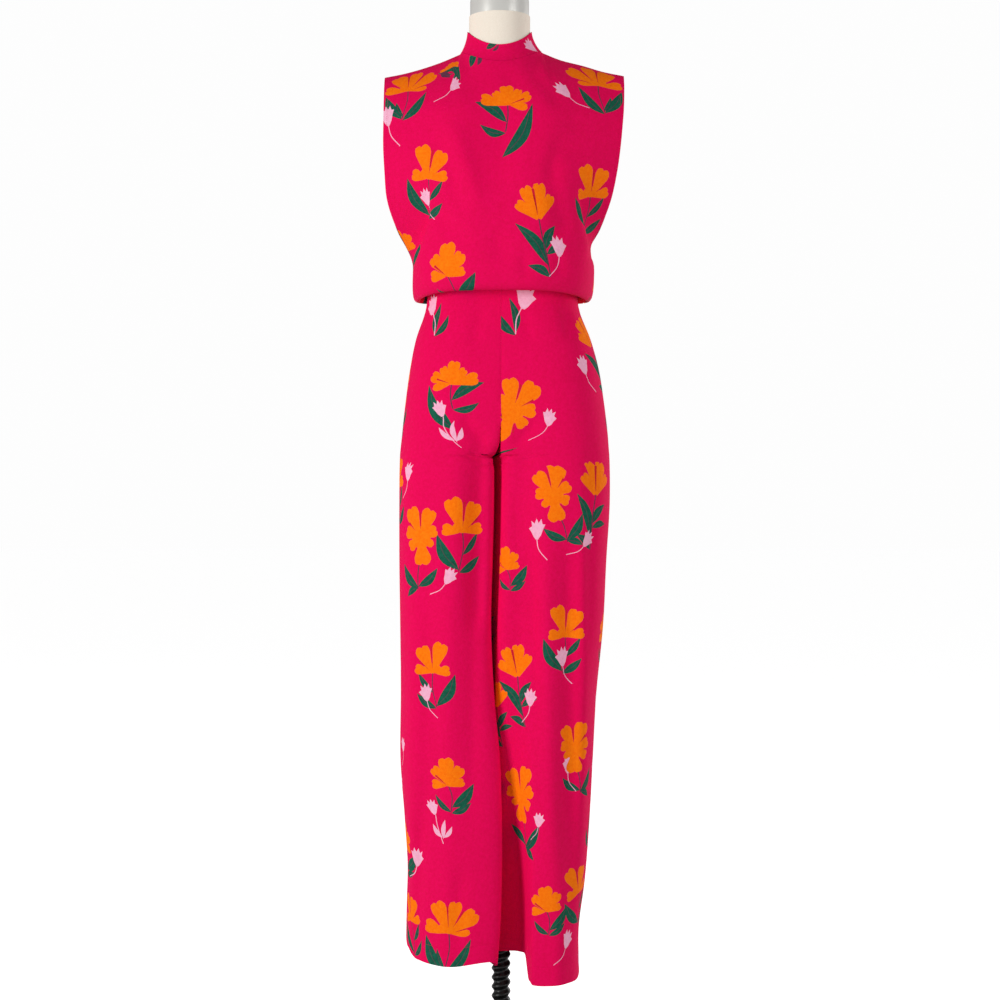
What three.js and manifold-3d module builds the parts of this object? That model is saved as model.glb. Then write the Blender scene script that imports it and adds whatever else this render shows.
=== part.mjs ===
import * as THREE from 'three';
import Module from 'manifold-3d';

// Sleeveless jumpsuit on a limbless dress form. Millimetres, +Z up, the front faces -Y.
// The origin is on the floor at the middle of the stand. Right and left are the wearer's,
// so the right side lies at negative X.

// Cloth
const CLOTH = 1.2;
const SEAM = 0.3;
const BACK_OPENING = 1.2;

// Levels of the bodice, from the waist seam down round the blouson roll and up to the chest.
// drop lowers a level toward the side. The armhole edge, or below the underarm the side seam,
// lies at X right or left, and at Y minus its edge value in front and plus it behind.
const LEVEL_COLUMNS = ['z', 'drop', 'rightX', 'rightEdge', 'leftX', 'leftEdge'];
const LEVELS = [
  [1150, 0, 115.0, 0, 121.0, 0],
  [1141, 6, 122.0, 0, 128.0, 0],
  [1138, 8, 128.0, 0, 131.5, 0],
  [1144, 7, 133.0, 0, 138.0, 0],
  [1158, 4, 134.5, 0, 141.0, 0],
  [1176, 0, 134.0, 0, 141.5, 0],
  [1188, 0, 134.2, 2, 140.0, 0],
  [1202, 0, 138.5, 12, 137.0, 1],
  [1218, 0, 146.0, 23, 137.5, 9],
  [1245, 0, 160.0, 38, 152.0, 30],
  [1280, 0, 170.8, 50, 165.0, 47],
  [1320, 0, 174.0, 56, 173.5, 55],
  [1360, 0, 176.0, 55, 179.0, 54],
  [1400, 0, 176.0, 47, 183.0, 46],
];

// Share of a half panel from its centre at which the drop begins
const DROP_START = 0.285;

// Front of the bodice at each level: the centre, the bust, the long side fold and the valley
// behind it, first on the right and then on the left
const FRONT_COLUMNS = [
  'centreY',
  'rightBustX', 'rightBustY', 'rightFoldX', 'rightFoldY', 'rightValleyX', 'rightValleyY',
  'leftBustX', 'leftBustY', 'leftFoldX', 'leftFoldY', 'leftValleyX', 'leftValleyY',
];
const FRONT = [
  [-79, 45, -78.6, 84, -65, 106, -37.5, 46, -78.6, 88, -65, 110.5, -37.5],
  [-94, 52, -91, 92, -72, 114, -40, 53, -91, 95, -72, 118, -40],
  [-104, 55, -100, 99, -77, 121, -42, 56, -100, 102, -77, 124, -42],
  [-112, 58, -107, 105, -81, 127, -42, 59, -107, 109, -80, 131, -42],
  [-117, 60, -112, 110, -84, 130, -44, 61, -112, 114, -83, 136, -44],
  [-118.5, 62, -113, 115, -80, 130, -42, 63, -113, 118, -82, 138, -43],
  [-119, 64, -113, 122, -72, 127, -44, 64, -113, 121, -80, 137, -41],
  [-119.5, 64, -114, 119, -73, 119, -49, 65, -114, 127, -72, 131, -44],
  [-120, 66, -114, 114, -76, 113, -56, 66, -114, 127, -71, 126, -49],
  [-120, 68, -115, 107, -84, 108, -70, 68, -115, 121, -77, 121, -60],
  [-118, 70, -116, 101, -94, 110, -83, 70, -116, 113, -89, 119, -77],
  [-112, 70, -114, 108, -92, 130, -80, 70, -114, 112, -92, 134, -79],
  [-103, 68, -106, 110, -86, 142, -72, 68, -106, 112, -86, 146, -71],
  [-92, 66, -96, 110, -78, 145, -62, 66, -96, 112, -78, 149, -62],
];

// Back of the bodice at each level, the same on both halves
const BACK_COLUMNS = ['centreY', 'bladeX', 'bladeY', 'foldX', 'foldY'];
const BACK = [
  [75, 50, 74.5, 98, 58],
  [88, 54, 86, 98, 62],
  [98, 58, 94, 104, 65],
  [106, 60, 101, 110, 68],
  [110, 62, 104, 113, 68],
  [111, 64, 106, 114, 68],
  [111, 64, 106, 114, 66],
  [111, 66, 106, 113, 66],
  [111, 68, 107, 114, 67],
  [110, 70, 107, 120, 74],
  [108, 72, 106, 126, 80],
  [105, 72, 104, 130, 82],
  [101, 72, 100, 132, 79],
  [94, 70, 93, 132, 70],
];

// Shoulder seam from the neck, share 0, to the tip, share 1
const SHOULDER_COLUMNS = ['share', 'rightX', 'rightZ', 'leftX', 'leftZ', 'y'];
const SHOULDER = [
  [0, 61.7, 1508, 62.0, 1510.5, 3],
  [0.25, 90.0, 1496.5, 91.0, 1499.5, 5],
  [0.5, 119.0, 1487, 124.0, 1491.5, 7],
  [0.75, 148.0, 1479.5, 156.0, 1482.5, 9],
  [1, 177.0, 1474, 187.0, 1476.5, 10],
];
const NECK_SHARE = 0.44;

// How far the chest's curves lean on their two ends, and how steeply they reach the top edge
// at the neck and on the shoulder
const YOKE = {
  leave: 1.1, arrive: 0.9, neckY: 0.5, neckZ: 0.9, shoulderY: 1, shoulderZ: 0.25, from: 0.5, over: 0.6,
};
const NECK_FRONT = new THREE.Vector3(-1, -61, 1484);
const NECK_BACK = new THREE.Vector3(-1, 57, 1514);

// Top edge of the stand collar, a ring that dips in front
const COLLAR_TOP = { x: -2.1, halfX: 49, front: -51.5, back: 49.5 };
const COLLAR_TOP_Z = { front: 1511, side: 1541, back: 1545 };
const COLLAR_DIP = 1.5;

// Foot of the collar: its gap above the neck seam, and how its curve leans in and rises
const COLLAR_FOOT = { gap: 0.9, inward: 0.03, leaveIn: 1.5, leaveUp: 0.7, arriveIn: 0.1 };

// Trouser legs. X counts outward from the middle to that leg's own side. seam is the inseam,
// or above the fork the centre seam, corner the inner front turn, front the foremost point,
// side the outseam, back the rearmost point and turn the inner back turn.
const LEG_COLUMNS = [
  'z', 'seamX', 'seamY', 'cornerX', 'cornerY', 'frontX', 'frontY',
  'sideX', 'sideY', 'backX', 'backY', 'turnX', 'turnY', 'riseY',
];
const RIGHT_LEG = [
  [1150, 0, -77, 0, -77, 30, -77, 111.0, 0, 30, 73, 0, 73, 73],
  [1121, 0, -80, 0, -80, 32, -80, 113.5, 0, 32, 79, 0, 79, 79],
  [1073, 0, -85, 0, -85, 40, -86, 129.0, 0, 40, 92, 0, 91, 91],
  [1026, 0, -88, 0, -88, 48, -90, 138.3, 1, 48, 101, 0, 99, 99],
  [982, 0, -89, 0, -89, 56, -92, 144.4, 2, 54, 106, 0, 103, 103],
  [940, 0, -88, 0, -88, 64, -93, 149.0, 2, 60, 108, 0, 98, 98],
  [925, 1.5, -80, 1.2, -87, 68, -93, 150.5, 2, 64, 108, 1.5, 84, 84],
  [912, 6, -64, 2.6, -81, 70, -93, 152.0, 2, 68, 108, 5, 62, 62],
  [904, 11.5, -45, 5.4, -75, 72, -92, 152.8, 2, 70, 107, 11.5, 45, 42],
  [899, 17, -22, 8.2, -72, 73, -92, 153.2, 2, 72, 107, 15, 46, 21],
  [897, 18.7, 0, 9.6, -71, 74, -92, 153.3, 2, 74, 106, 15, 47, 0],
  [874, 20.5, 0, 9.9, -66, 75, -91, 154.0, 2, 76, 105, 14, 50, 0],
  [830, 20.8, 0, 9.9, -60, 76, -90, 154.3, 2, 78, 102, 15, 50, 0],
  [740, 21, 0, 12.0, -54, 80, -87, 154.3, 2, 80, 96, 16, 48, 0],
  [640, 21, 0, 14.3, -54, 82, -85, 153.0, 2, 80, 92, 16, 46, 0],
  [540, 21, 0, 10.0, -56, 80, -83, 152.0, 2, 78, 89, 16, 44, 0],
  [440, 21, 0, 1.0, -58, 75, -81, 152.6, 2, 76, 87, 15, 44, 0],
  [340, 21, 0, -1.6, -60, 72, -80, 146.0, 2, 74, 86, 15, 44, 0],
  [250, 21, 0, -1.4, -60, 70, -79, 141.5, 2, 72, 85, 15, 44, 0],
  [180, 21, 0, 0.5, -60, 70, -78, 143.0, 2, 72, 85, 15, 44, 0],
  [112, 21, 0, 5.0, -60, 70, -77, 144.0, 2, 72, 85, 15, 44, 0],
];
const LEFT_LEG = [
  [1150, 0, -77, 0, -77, 30, -77, 115.5, 0, 30, 73, 0, 73, 73],
  [1121, 0, -80, 0, -80, 32, -80, 118.0, 0, 32, 79, 0, 79, 79],
  [1073, 0, -85, 0, -85, 40, -86, 136.0, 0, 40, 92, 0, 91, 91],
  [1026, 0, -88, 0, -88, 48, -90, 148.8, 1, 48, 101, 0, 99, 99],
  [982, 0, -89, 0, -89, 58, -92, 155.8, 2, 54, 106, 0, 103, 103],
  [940, 0, -88, 0, -88, 66, -93, 161.0, 2, 62, 108, 0, 98, 98],
  [925, -1.5, -80, -0.6, -87, 70, -93, 162.5, 2, 66, 108, -1.5, 84, 84],
  [912, -6, -64, -0.8, -81, 72, -93, 163.4, 2, 70, 108, -5, 62, 62],
  [904, -11.5, -45, -0.9, -75, 74, -92, 164.0, 2, 72, 107, -11, 45, 42],
  [899, -17, -22, -0.6, -72, 75, -92, 164.4, 2, 74, 107, -11, 46, 21],
  [897, -18.7, 0, 0.2, -71, 76, -92, 164.5, 2, 76, 106, -10.5, 47, 0],
  [874, -17.6, 0, 1.0, -68, 77, -91, 165.2, 2, 78, 105, -11, 50, 0],
  [830, -17.6, 0, 0.0, -63, 78, -90, 165.2, 2, 80, 102, -10, 50, 0],
  [740, -17.6, 0, -1.9, -58, 80, -88, 160.0, 2, 80, 96, -10, 48, 0],
  [640, -17.6, 0, -6.0, -54, 82, -86, 155.0, 2, 80, 92, -10, 46, 0],
  [540, -17.6, 0, -10.0, -44, 80, -85, 145.0, 2, 76, 89, -10, 44, 0],
  [440, -17.6, 0, -13.0, -30, 78, -83, 139.4, 2, 72, 87, -10, 44, 0],
  [340, -17.6, 0, -15.0, -20, 77, -82, 134.0, 2, 70, 86, -10, 44, 0],
  [250, -17.6, 0, -16.5, -14, 76, -81, 127.0, 2, 68, 85, -10, 44, 0],
  [180, -17.6, 0, -17.0, -12, 76, -80, 118.0, 0, 66, 85, -10, 44, 0],
  [112, -17.6, 0, -17.0, -12, 76, -79, 118.5, 0, 66, 85, -10, 44, 0],
];
const INNER_WALL_Y = 22;
const LEG_MIDDLE = 75;

// Row of the fork, from which each leg has its own inseam
const FORK = 10;

// Panels stand apart by a part of the seam's gap sideways, and along Y from a share of the width
const SEAM_SIDE = 0.75;
const SEAM_BLEND = 0.125;

// Roundness of each quarter of a leg's section, 2 is an ellipse
const ROUND = { corner: 2.4, front: 2.3, back: 2.3, turn: 2.3 };

// Long soft folds of the legs. A fold pushes the cloth in along Y; x and z give its two ends.
const FOLD_COLUMNS = ['topX', 'topZ', 'bottomX', 'bottomZ', 'depth', 'width'];
const RIGHT_LEG_FOLDS = [
  [28, 960, 36, 640, 7, 16],
  [118, 420, 131, 60, 9, 11],
  [92, 700, 104, 100, 4, 16],
];
const LEFT_LEG_FOLDS = [
  [112, 860, 104, 60, 5, 14],
  [36, 980, 34, 560, 5, 18],
];
const BACK_FOLDS = [
  [60, 980, 56, 60, 6, 18],
  [104, 900, 108, 60, 5, 16],
];

// Folds fade out toward the outseam, toward the inner turn and on the inner wall
// How fast a fold starts at its top and ends at its bottom, with what is left of it there
const FOLD_ENDS = { top: 3, bottom: 6, left: 0.4 };
const FOLD_EASE = { side: 24, turn: 20, wallY: 15, wallBlend: 30 };

// The left leg is drawn back beside the post: everything inward of lipX goes to floorY
const RECESS_COLUMNS = ['z', 'lipX', 'blend', 'floorY', 'share'];
const RECESS = [
  [700, 50, 44, -50, 0.0],
  [560, 50, 42, -42, 0.3],
  [420, 50, 36, -36, 0.6],
  [300, 49, 26, -32, 0.85],
  [220, 47, 17, -29, 0.97],
  [112, 46, 12, -27, 1.0],
];

// Height of each hem along its panel, from the inseam, share 0, to the outseam, share 1
const HEM_START = 400;
const HEM_LEVEL = 112;
const HEMS = {
  rightFront: [[0, 148], [0.2, 134], [0.32, 144], [0.55, 138], [0.78, 143], [0.88, 158], [1, 172]],
  rightBack: [[0, 148], [0.5, 164], [1, 172]],
  leftFront: [[0, 150], [0.24, 151], [0.32, 148], [0.42, 114], [0.55, 110], [0.8, 112], [1, 118]],
  leftBack: [[0, 150], [0.5, 132], [1, 118]],
};

// Dress form: half widths and depths of a general figure
const FORM_COLUMNS = ['z', 'halfX', 'front', 'back'];
const FORM = [
  [936, 142, -78, 92],
  [965, 142, -83, 99],
  [1005, 137, -83, 96],
  [1050, 126, -79, 86],
  [1090, 114, -74, 74],
  [1130, 106, -71, 67],
  [1170, 107, -75, 67],
  [1215, 114, -90, 74],
  [1260, 124, -106, 82],
  [1295, 131, -111, 88],
  [1335, 138, -106, 92],
  [1370, 146, -94, 91],
  [1400, 154, -84, 87],
];
const FORM_ROUND = 2.25;
const FORM_SIDES = 36;

// How far the form's section keeps its side values: 1 is even, more is nearer the sides
const FORM_SIDEWAYS = 1.6;

// Shoulders of the form: each line from the chest to the neck bends toward two points, which
// have shares of the chest's X and Y and a height. Some values change from the middle of the
// form to its sides.
const FORM_NECK = { x: -2.1, y: -3, radius: 46.4, back: 1512, front: 1486, side: 1498, top: 1562.5 };
const FORM_LOW = { x: 1.05, y: 0.93, sideY: 0.75, z: 1440, sideZ: 1456 };
const FORM_HIGH = { x: 0.72, y: 0.68, sideY: 0.3, z: 1470, sideZ: 1478 };
const FORM_SHOULDER_STEPS = [0.2, 0.38, 0.54, 0.68, 0.8, 0.9, 1];

// Neck cap
const CAP = [[44.7, 1562.8], [44.7, 1588], [41.6, 1594], [31.3, 1598], [15.6, 1602]];

// Stand
const POST = { radius: 11, bottom: 226, top: 929.4 };
const FLANGE = { radius: 32, bottom: 929.7, top: 935.7 };
const SCREW = { mean: 12.75, swing: 1.75, pitch: 14, bottom: 50.3, top: 225.7 };
const SCREW_SIDES = 10;
const SCREW_ROWS = 4;
const TURNED_SIDES = { cap: 32, flange: 24, tube: 20, base: 40 };
const BASE = [[164, 0], [165, 2], [165, 6], [159, 10], [56, 18], [22, 30], [19, 50]];

// Zip
const TAPE = { halfWidth: 11, wall: 0.9, behind: 0.7, bottomLevel: 5.2, columns: 5 };
const SLIDER = { y: 52.1, z: 1532, tilt: 0.27, width: 8, length: 12, plate: 1.6 };
const ARCH = { width: 4, length: 9, height: 5.4, roof: 1.2, holeLength: 5.2 };
const PULL = { width: 8, length: 26, wall: 1.2, bar: 1.4, window: 5.2, windowLength: 7 };
const PULL_AXIS = { out: 2.9, up: -1.6 };

// Columns and rows of the panels' grids
const FRONT_COUNT = 15;
const BACK_COUNT = 11;
const YOKE_STEPS = 4;
const COLLAR_COUNT = 31;
const COLLAR_STEPS = 3;
const LEG_FRONT_COUNT = 21;
const LEG_BACK_COUNT = 13;

const mix = (a, b, t) => a + (b - a) * t;

function smooth(t) {
  const c = Math.min(1, Math.max(0, t));
  return c * c * (3 - 2 * c);
}

// One row of a table at a fractional row number, every column by its name
function rowAt(table, columns, position) {
  const last = table.length - 1;
  const i = Math.min(last - 1, Math.max(0, Math.floor(position)));
  const t = position - i;
  const before = table[Math.max(0, i - 1)];
  const after = table[Math.min(last, i + 2)];
  const row = {};
  columns.forEach((name, c) => {
    const a = table[i][c];
    const b = table[i + 1][c];
    const ta = i > 0 ? (b - before[c]) / 2 : b - a;
    const tb = i + 1 < last ? (after[c] - a) / 2 : b - a;
    row[name] = a * (2 * t ** 3 - 3 * t ** 2 + 1) + ta * (t ** 3 - 2 * t ** 2 + t)
      + b * (3 * t ** 2 - 2 * t ** 3) + tb * (t ** 3 - t ** 2);
  });
  return row;
}

// Row number at which a table's first column has a value
function rowNumber(table, value) {
  const rising = table[1][0] > table[0][0];
  for (let i = 0; i < table.length - 1; i += 1) {
    const [a, b] = [table[i][0], table[i + 1][0]];
    if (rising ? value <= b : value >= b) {
      return i + Math.max(0, (value - a) / (b - a));
    }
  }
  return table.length - 1;
}

// Smooth curve through points in a plane, as a fine polyline
function curveThrough(points, steps) {
  const gap = points.slice(1).map((p, i) => Math.sqrt(p.distanceTo(points[i])) || 1e-6);
  const slope = points.slice(1).map((p, i) => p.clone().sub(points[i]).divideScalar(gap[i]));
  const tangent = points.map((p, i) => {
    if (i === 0) return slope[0];
    if (i === points.length - 1) return slope[i - 1];
    const whole = gap[i - 1] + gap[i];
    return slope[i - 1].clone().multiplyScalar(gap[i] / whole)
      .add(slope[i].clone().multiplyScalar(gap[i - 1] / whole));
  });
  const line = [];
  for (let i = 0; i < points.length - 1; i += 1) {
    for (let s = 0; s < steps; s += 1) {
      line.push(hermite(points[i], points[i + 1], tangent[i].clone().multiplyScalar(gap[i]),
        tangent[i + 1].clone().multiplyScalar(gap[i]), s / steps));
    }
  }
  line.push(points[points.length - 1].clone());
  return line;
}

function hermite(a, b, ta, tb, t) {
  return a.clone().multiplyScalar(2 * t ** 3 - 3 * t ** 2 + 1)
    .add(ta.clone().multiplyScalar(t ** 3 - 2 * t ** 2 + t))
    .add(b.clone().multiplyScalar(3 * t ** 2 - 2 * t ** 3))
    .add(tb.clone().multiplyScalar(t ** 3 - t ** 2));
}

// The polyline's points at even shares of its length
function spaced(line, count) {
  const length = [0];
  for (let i = 1; i < line.length; i += 1) {
    length.push(length[i - 1] + line[i].distanceTo(line[i - 1]));
  }
  const whole = length[length.length - 1];
  const points = [];
  let i = 1;
  for (let k = 0; k < count; k += 1) {
    const at = whole * k / (count - 1);
    while (i < line.length - 1 && length[i] < at) i += 1;
    const span = length[i] - length[i - 1];
    points.push(line[i - 1].clone().lerp(line[i], span ? (at - length[i - 1]) / span : 0));
  }
  return points;
}

// Value along a list of [share, value] pairs, eased from pair to pair
function along(pairs, share) {
  for (let i = 0; i < pairs.length - 1; i += 1) {
    if (share <= pairs[i + 1][0]) {
      return mix(pairs[i][1], pairs[i + 1][1],
        smooth((share - pairs[i][0]) / (pairs[i + 1][0] - pairs[i][0])));
    }
  }
  return pairs[pairs.length - 1][1];
}

// Unit normals of a grid of points, all on the side away from an inner line x, y
function gridNormals(rows, inner) {
  const normals = rows.map((row, i) => row.map((point, j) => {
    const across = row[Math.min(j + 1, row.length - 1)].clone().sub(row[Math.max(j - 1, 0)]);
    const up = rows[Math.min(i + 1, rows.length - 1)][j].clone().sub(rows[Math.max(i - 1, 0)][j]);
    return across.cross(up).normalize();
  }));
  let outward = 0;
  rows.forEach((row, i) => row.forEach((p, j) => {
    outward += normals[i][j].x * (p.x - inner.x) + normals[i][j].y * (p.y - inner.y);
  }));
  if (outward < 0) normals.forEach((row) => row.forEach((n) => n.negate()));
  return normals;
}

// Closed body from points and triangles, turned so that its faces look outward
function body(points, triangles) {
  let volume = 0;
  for (const [a, b, c] of triangles) {
    volume += points[a].dot(points[b].clone().cross(points[c]));
  }
  const facing = volume < 0 ? triangles.map(([a, b, c]) => [a, c, b]) : triangles;
  const geometry = new THREE.BufferGeometry();
  const flat = points.flatMap((p) => [p.x, p.y, p.z]);
  geometry.setAttribute('position', new THREE.Float32BufferAttribute(flat, 3));
  geometry.setIndex(facing.flat());
  return geometry;
}

// Wall of cloth: a grid of points on its outer face, and the same grid moved in. square
// turns the normal at a seam into the seam's own plane, so that neighbours meet flush.
function sheet(rows, wall, inner, square = () => {}) {
  const normals = gridNormals(rows, inner);
  normals.forEach((row, i) => row.forEach((normal, j) => {
    square(normal, i, j);
    normal.normalize();
  }));
  const [high, wide] = [rows.length, rows[0].length];
  const outside = rows.flat();
  const inside = rows.flatMap((row, i) => row.map(
    (p, j) => p.clone().addScaledVector(normals[i][j], -wall)));
  const under = high * wide;
  const triangles = [];
  for (let i = 0; i < high - 1; i += 1) {
    for (let j = 0; j < wide - 1; j += 1) {
      const a = i * wide + j;
      const [b, c, d] = [a + 1, a + wide + 1, a + wide];
      triangles.push([a, b, c], [a, c, d]);
      triangles.push([under + a, under + c, under + b], [under + a, under + d, under + c]);
    }
  }
  const rim = [];
  for (let j = 0; j < wide - 1; j += 1) rim.push(j);
  for (let i = 0; i < high - 1; i += 1) rim.push(i * wide + wide - 1);
  for (let j = wide - 1; j > 0; j -= 1) rim.push((high - 1) * wide + j);
  for (let i = high - 1; i > 0; i -= 1) rim.push(i * wide);
  rim.forEach((a, k) => {
    const b = rim[(k + 1) % rim.length];
    triangles.push([a, under + a, under + b], [a, under + b, b]);
  });
  return body([...outside, ...inside], triangles);
}

// Solid through closed rings, capped at both ends
function loft(rings) {
  const count = rings[0].length;
  const points = rings.flat();
  const triangles = [];
  for (let i = 0; i < rings.length - 1; i += 1) {
    for (let j = 0; j < count; j += 1) {
      const a = i * count + j;
      const b = i * count + (j + 1) % count;
      triangles.push([a, b, b + count], [a, b + count, a + count]);
    }
  }
  for (const start of [0, (rings.length - 1) * count]) {
    const centre = new THREE.Vector3();
    for (let j = 0; j < count; j += 1) centre.addScaledVector(points[start + j], 1 / count);
    points.push(centre);
    const middle = points.length - 1;
    for (let j = 0; j < count; j += 1) {
      const [a, b] = [start + j, start + (j + 1) % count];
      triangles.push(start === 0 ? [middle, b, a] : [middle, a, b]);
    }
  }
  return body(points, triangles);
}

// Solid of revolution about the line x, y from a profile of [radius, z] pairs
function turned(profile, sides, x = 0, y = 0) {
  return loft(profile.map(([radius, z]) => {
    const ring = [];
    for (let j = 0; j < sides; j += 1) {
      const angle = 2 * Math.PI * j / sides;
      ring.push(new THREE.Vector3(x + radius * Math.cos(angle), y + radius * Math.sin(angle), z));
    }
    return ring;
  }));
}

// Bodice

const flatPoint = (x, y) => new THREE.Vector3(x, y, 0);

// Half a level of the front, from the centre to the edge; side is -1 right, 1 left
function frontHalf(position, side, count) {
  const level = rowAt(LEVELS, LEVEL_COLUMNS, position);
  const front = rowAt(FRONT, FRONT_COLUMNS, position);
  const points = [
    flatPoint(level.leftX, -level.leftEdge - SEAM / 2),
    flatPoint(front.leftValleyX, front.leftValleyY),
    flatPoint(front.leftFoldX, front.leftFoldY),
    flatPoint(front.leftBustX, front.leftBustY),
    flatPoint(0, front.centreY),
    flatPoint(-front.rightBustX, front.rightBustY),
    flatPoint(-front.rightFoldX, front.rightFoldY),
    flatPoint(-front.rightValleyX, front.rightValleyY),
    flatPoint(-level.rightX, -level.rightEdge - SEAM / 2),
  ];
  const line = curveThrough(points, 12);
  const middle = (line.length - 1) / 2;
  const half = side < 0 ? line.slice(middle) : line.slice(0, middle + 1).reverse();
  return spaced(half, count).map((p, j) => {
    p.z = level.z - level.drop * smooth((j / (count - 1) - DROP_START) / (1 - DROP_START));
    return p;
  });
}

// Half a level of the back, from the opening at the centre to the edge
function backHalf(position, side, count) {
  const level = rowAt(LEVELS, LEVEL_COLUMNS, position);
  const back = rowAt(BACK, BACK_COLUMNS, position);
  const edgeX = side < 0 ? level.rightX : level.leftX;
  const edgeY = side < 0 ? level.rightEdge : level.leftEdge;
  const points = [
    flatPoint(-back.bladeX, back.bladeY),
    flatPoint(0, back.centreY),
    flatPoint(back.bladeX, back.bladeY),
    flatPoint(back.foldX, back.foldY),
    flatPoint(edgeX, edgeY + SEAM / 2),
  ];
  const line = curveThrough(points, 12).slice(12);
  return spaced(line, count).map((p, j) => {
    const share = j / (count - 1);
    const opening = BACK_OPENING / 2 * (1 - share);
    return new THREE.Vector3(side * (p.x + opening), p.y,
      level.z - level.drop * smooth((share - DROP_START) / (1 - DROP_START)));
  });
}

// Point of the neckline, turn 0 at the centre and 1 at the shoulder seam
function neckline(turn, side, centre) {
  const shoulder = rowAt(SHOULDER, SHOULDER_COLUMNS, 0);
  const tipX = side < 0 ? -shoulder.rightX : shoulder.leftX;
  const tipZ = side < 0 ? shoulder.rightZ : shoulder.leftZ;
  const angle = turn * Math.PI / 2;
  return new THREE.Vector3(
    mix(centre.x, tipX, Math.sin(angle)),
    shoulder.y + (centre.y - shoulder.y) * Math.cos(angle),
    mix(centre.z, tipZ, smooth(turn)),
  );
}

// Top edge of a panel: the neckline, then the shoulder seam; inFront is 1 front, -1 back
function topEdge(share, side, inFront) {
  if (share <= NECK_SHARE) {
    return neckline(share / NECK_SHARE, side, inFront > 0 ? NECK_FRONT : NECK_BACK);
  }
  const run = (share - NECK_SHARE) / (1 - NECK_SHARE);
  const seam = rowAt(SHOULDER, SHOULDER_COLUMNS, run * (SHOULDER.length - 1));
  return new THREE.Vector3(side < 0 ? -seam.rightX : seam.leftX, seam.y,
    side < 0 ? seam.rightZ : seam.leftZ);
}

// Rows of the chest or shoulder blades, from the top level up to the neckline and shoulder
function yoke(top, below, side, inFront, steps) {
  const rows = [];
  for (let k = 1; k <= steps; k += 1) {
    rows.push(top.map((start, j) => {
      const share = j / (top.length - 1);
      const end = topEdge(share, side, inFront);
      const rise = end.z - start.z;
      const leave = start.clone().sub(below[j]).normalize().multiplyScalar(rise * YOKE.leave);
      const over = smooth((share / NECK_SHARE - YOKE.from) / YOKE.over);
      const arrive = new THREE.Vector3(0, inFront * mix(YOKE.neckY, YOKE.shoulderY, over),
        mix(YOKE.neckZ, YOKE.shoulderZ, over)).normalize().multiplyScalar(rise * YOKE.arrive);
      const point = hermite(start, end, leave, arrive, k / steps);
      point.y -= inFront * SEAM / 2 * (share >= NECK_SHARE ? 1 : 0) * (k / steps);
      return point;
    }));
  }
  return rows;
}

function bodiceFrontRows(positions, count, steps) {
  const halves = [-1, 1].map((side) => {
    const rows = positions.map((position) => frontHalf(position, side, count));
    const top = rows[rows.length - 1];
    return [...rows, ...yoke(top, rows[rows.length - 2], side, 1, steps)];
  });
  return halves[0].map((right, i) => [...right.slice(1).reverse(), ...halves[1][i]]);
}

function bodiceBackRows(positions, side, count, steps) {
  const rows = positions.map((position) => backHalf(position, side, count));
  const upper = yoke(rows[rows.length - 1], rows[rows.length - 2], side, -1, steps);
  for (const row of upper) {
    row.forEach((p, j) => {
      const least = BACK_OPENING / 2;
      if (side * p.x < least || j === 0) p.x = side * least;
    });
  }
  return [...rows, ...upper];
}

// Collar

// Ring position round the neck, turn -2 to 2 from the back by the right, the front and the left
function collarBottom(turn) {
  const side = turn < 0 ? -1 : 1;
  const away = Math.abs(turn);
  return away <= 1 ? neckline(away, side, NECK_FRONT) : neckline(2 - away, side, NECK_BACK);
}

function collarTop(turn) {
  const angle = turn * Math.PI / 2;
  const facing = Math.cos(angle);
  const depth = facing > 0 ? -COLLAR_TOP.front : COLLAR_TOP.back;
  const z = facing > 0
    ? mix(COLLAR_TOP_Z.side, COLLAR_TOP_Z.front, facing ** COLLAR_DIP)
    : mix(COLLAR_TOP_Z.side, COLLAR_TOP_Z.back, -facing);
  return new THREE.Vector3(COLLAR_TOP.x + COLLAR_TOP.halfX * Math.sin(angle), -depth * facing, z);
}

function collarRows(count, steps) {
  const rows = [];
  for (let k = 0; k <= steps; k += 1) {
    const row = [];
    for (let j = 0; j < count; j += 1) {
      const turn = mix(-2, 2, j / (count - 1));
      const low = collarBottom(turn);
      const high = collarTop(turn);
      const rise = high.z - low.z;
      const lean = high.clone().sub(low).setZ(0);
      const start = low.clone().addScaledVector(lean, COLLAR_FOOT.inward)
        .setZ(low.z + COLLAR_FOOT.gap);
      const leave = lean.clone().multiplyScalar(COLLAR_FOOT.leaveIn)
        .setZ(rise * COLLAR_FOOT.leaveUp);
      const arrive = new THREE.Vector3(0, 0, rise).addScaledVector(lean, COLLAR_FOOT.arriveIn);
      const point = hermite(start, high, leave, arrive, k / steps);
      if (j === 0) point.x = Math.min(point.x, -BACK_OPENING / 2);
      if (j === count - 1) point.x = Math.max(point.x, BACK_OPENING / 2);
      row.push(point);
    }
    rows.push(row);
  }
  return rows;
}

// Zip

// Point of a row of cloth at a distance x from the middle
function pointAtX(row, x) {
  for (let j = 0; j < row.length - 1; j += 1) {
    if (Math.abs(row[j + 1].x) >= Math.abs(x)) {
      const t = (x - row[j].x) / (row[j + 1].x - row[j].x);
      return row[j].clone().lerp(row[j + 1], t);
    }
  }
  return row[row.length - 1].clone();
}

// The grid moved along its normals, out when the distance is positive
function moved(rows, inner, distance) {
  const normals = gridNormals(rows, inner);
  return rows.map((row, i) => row.map((p, j) => p.clone().addScaledVector(normals[i][j], distance)));
}

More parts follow.
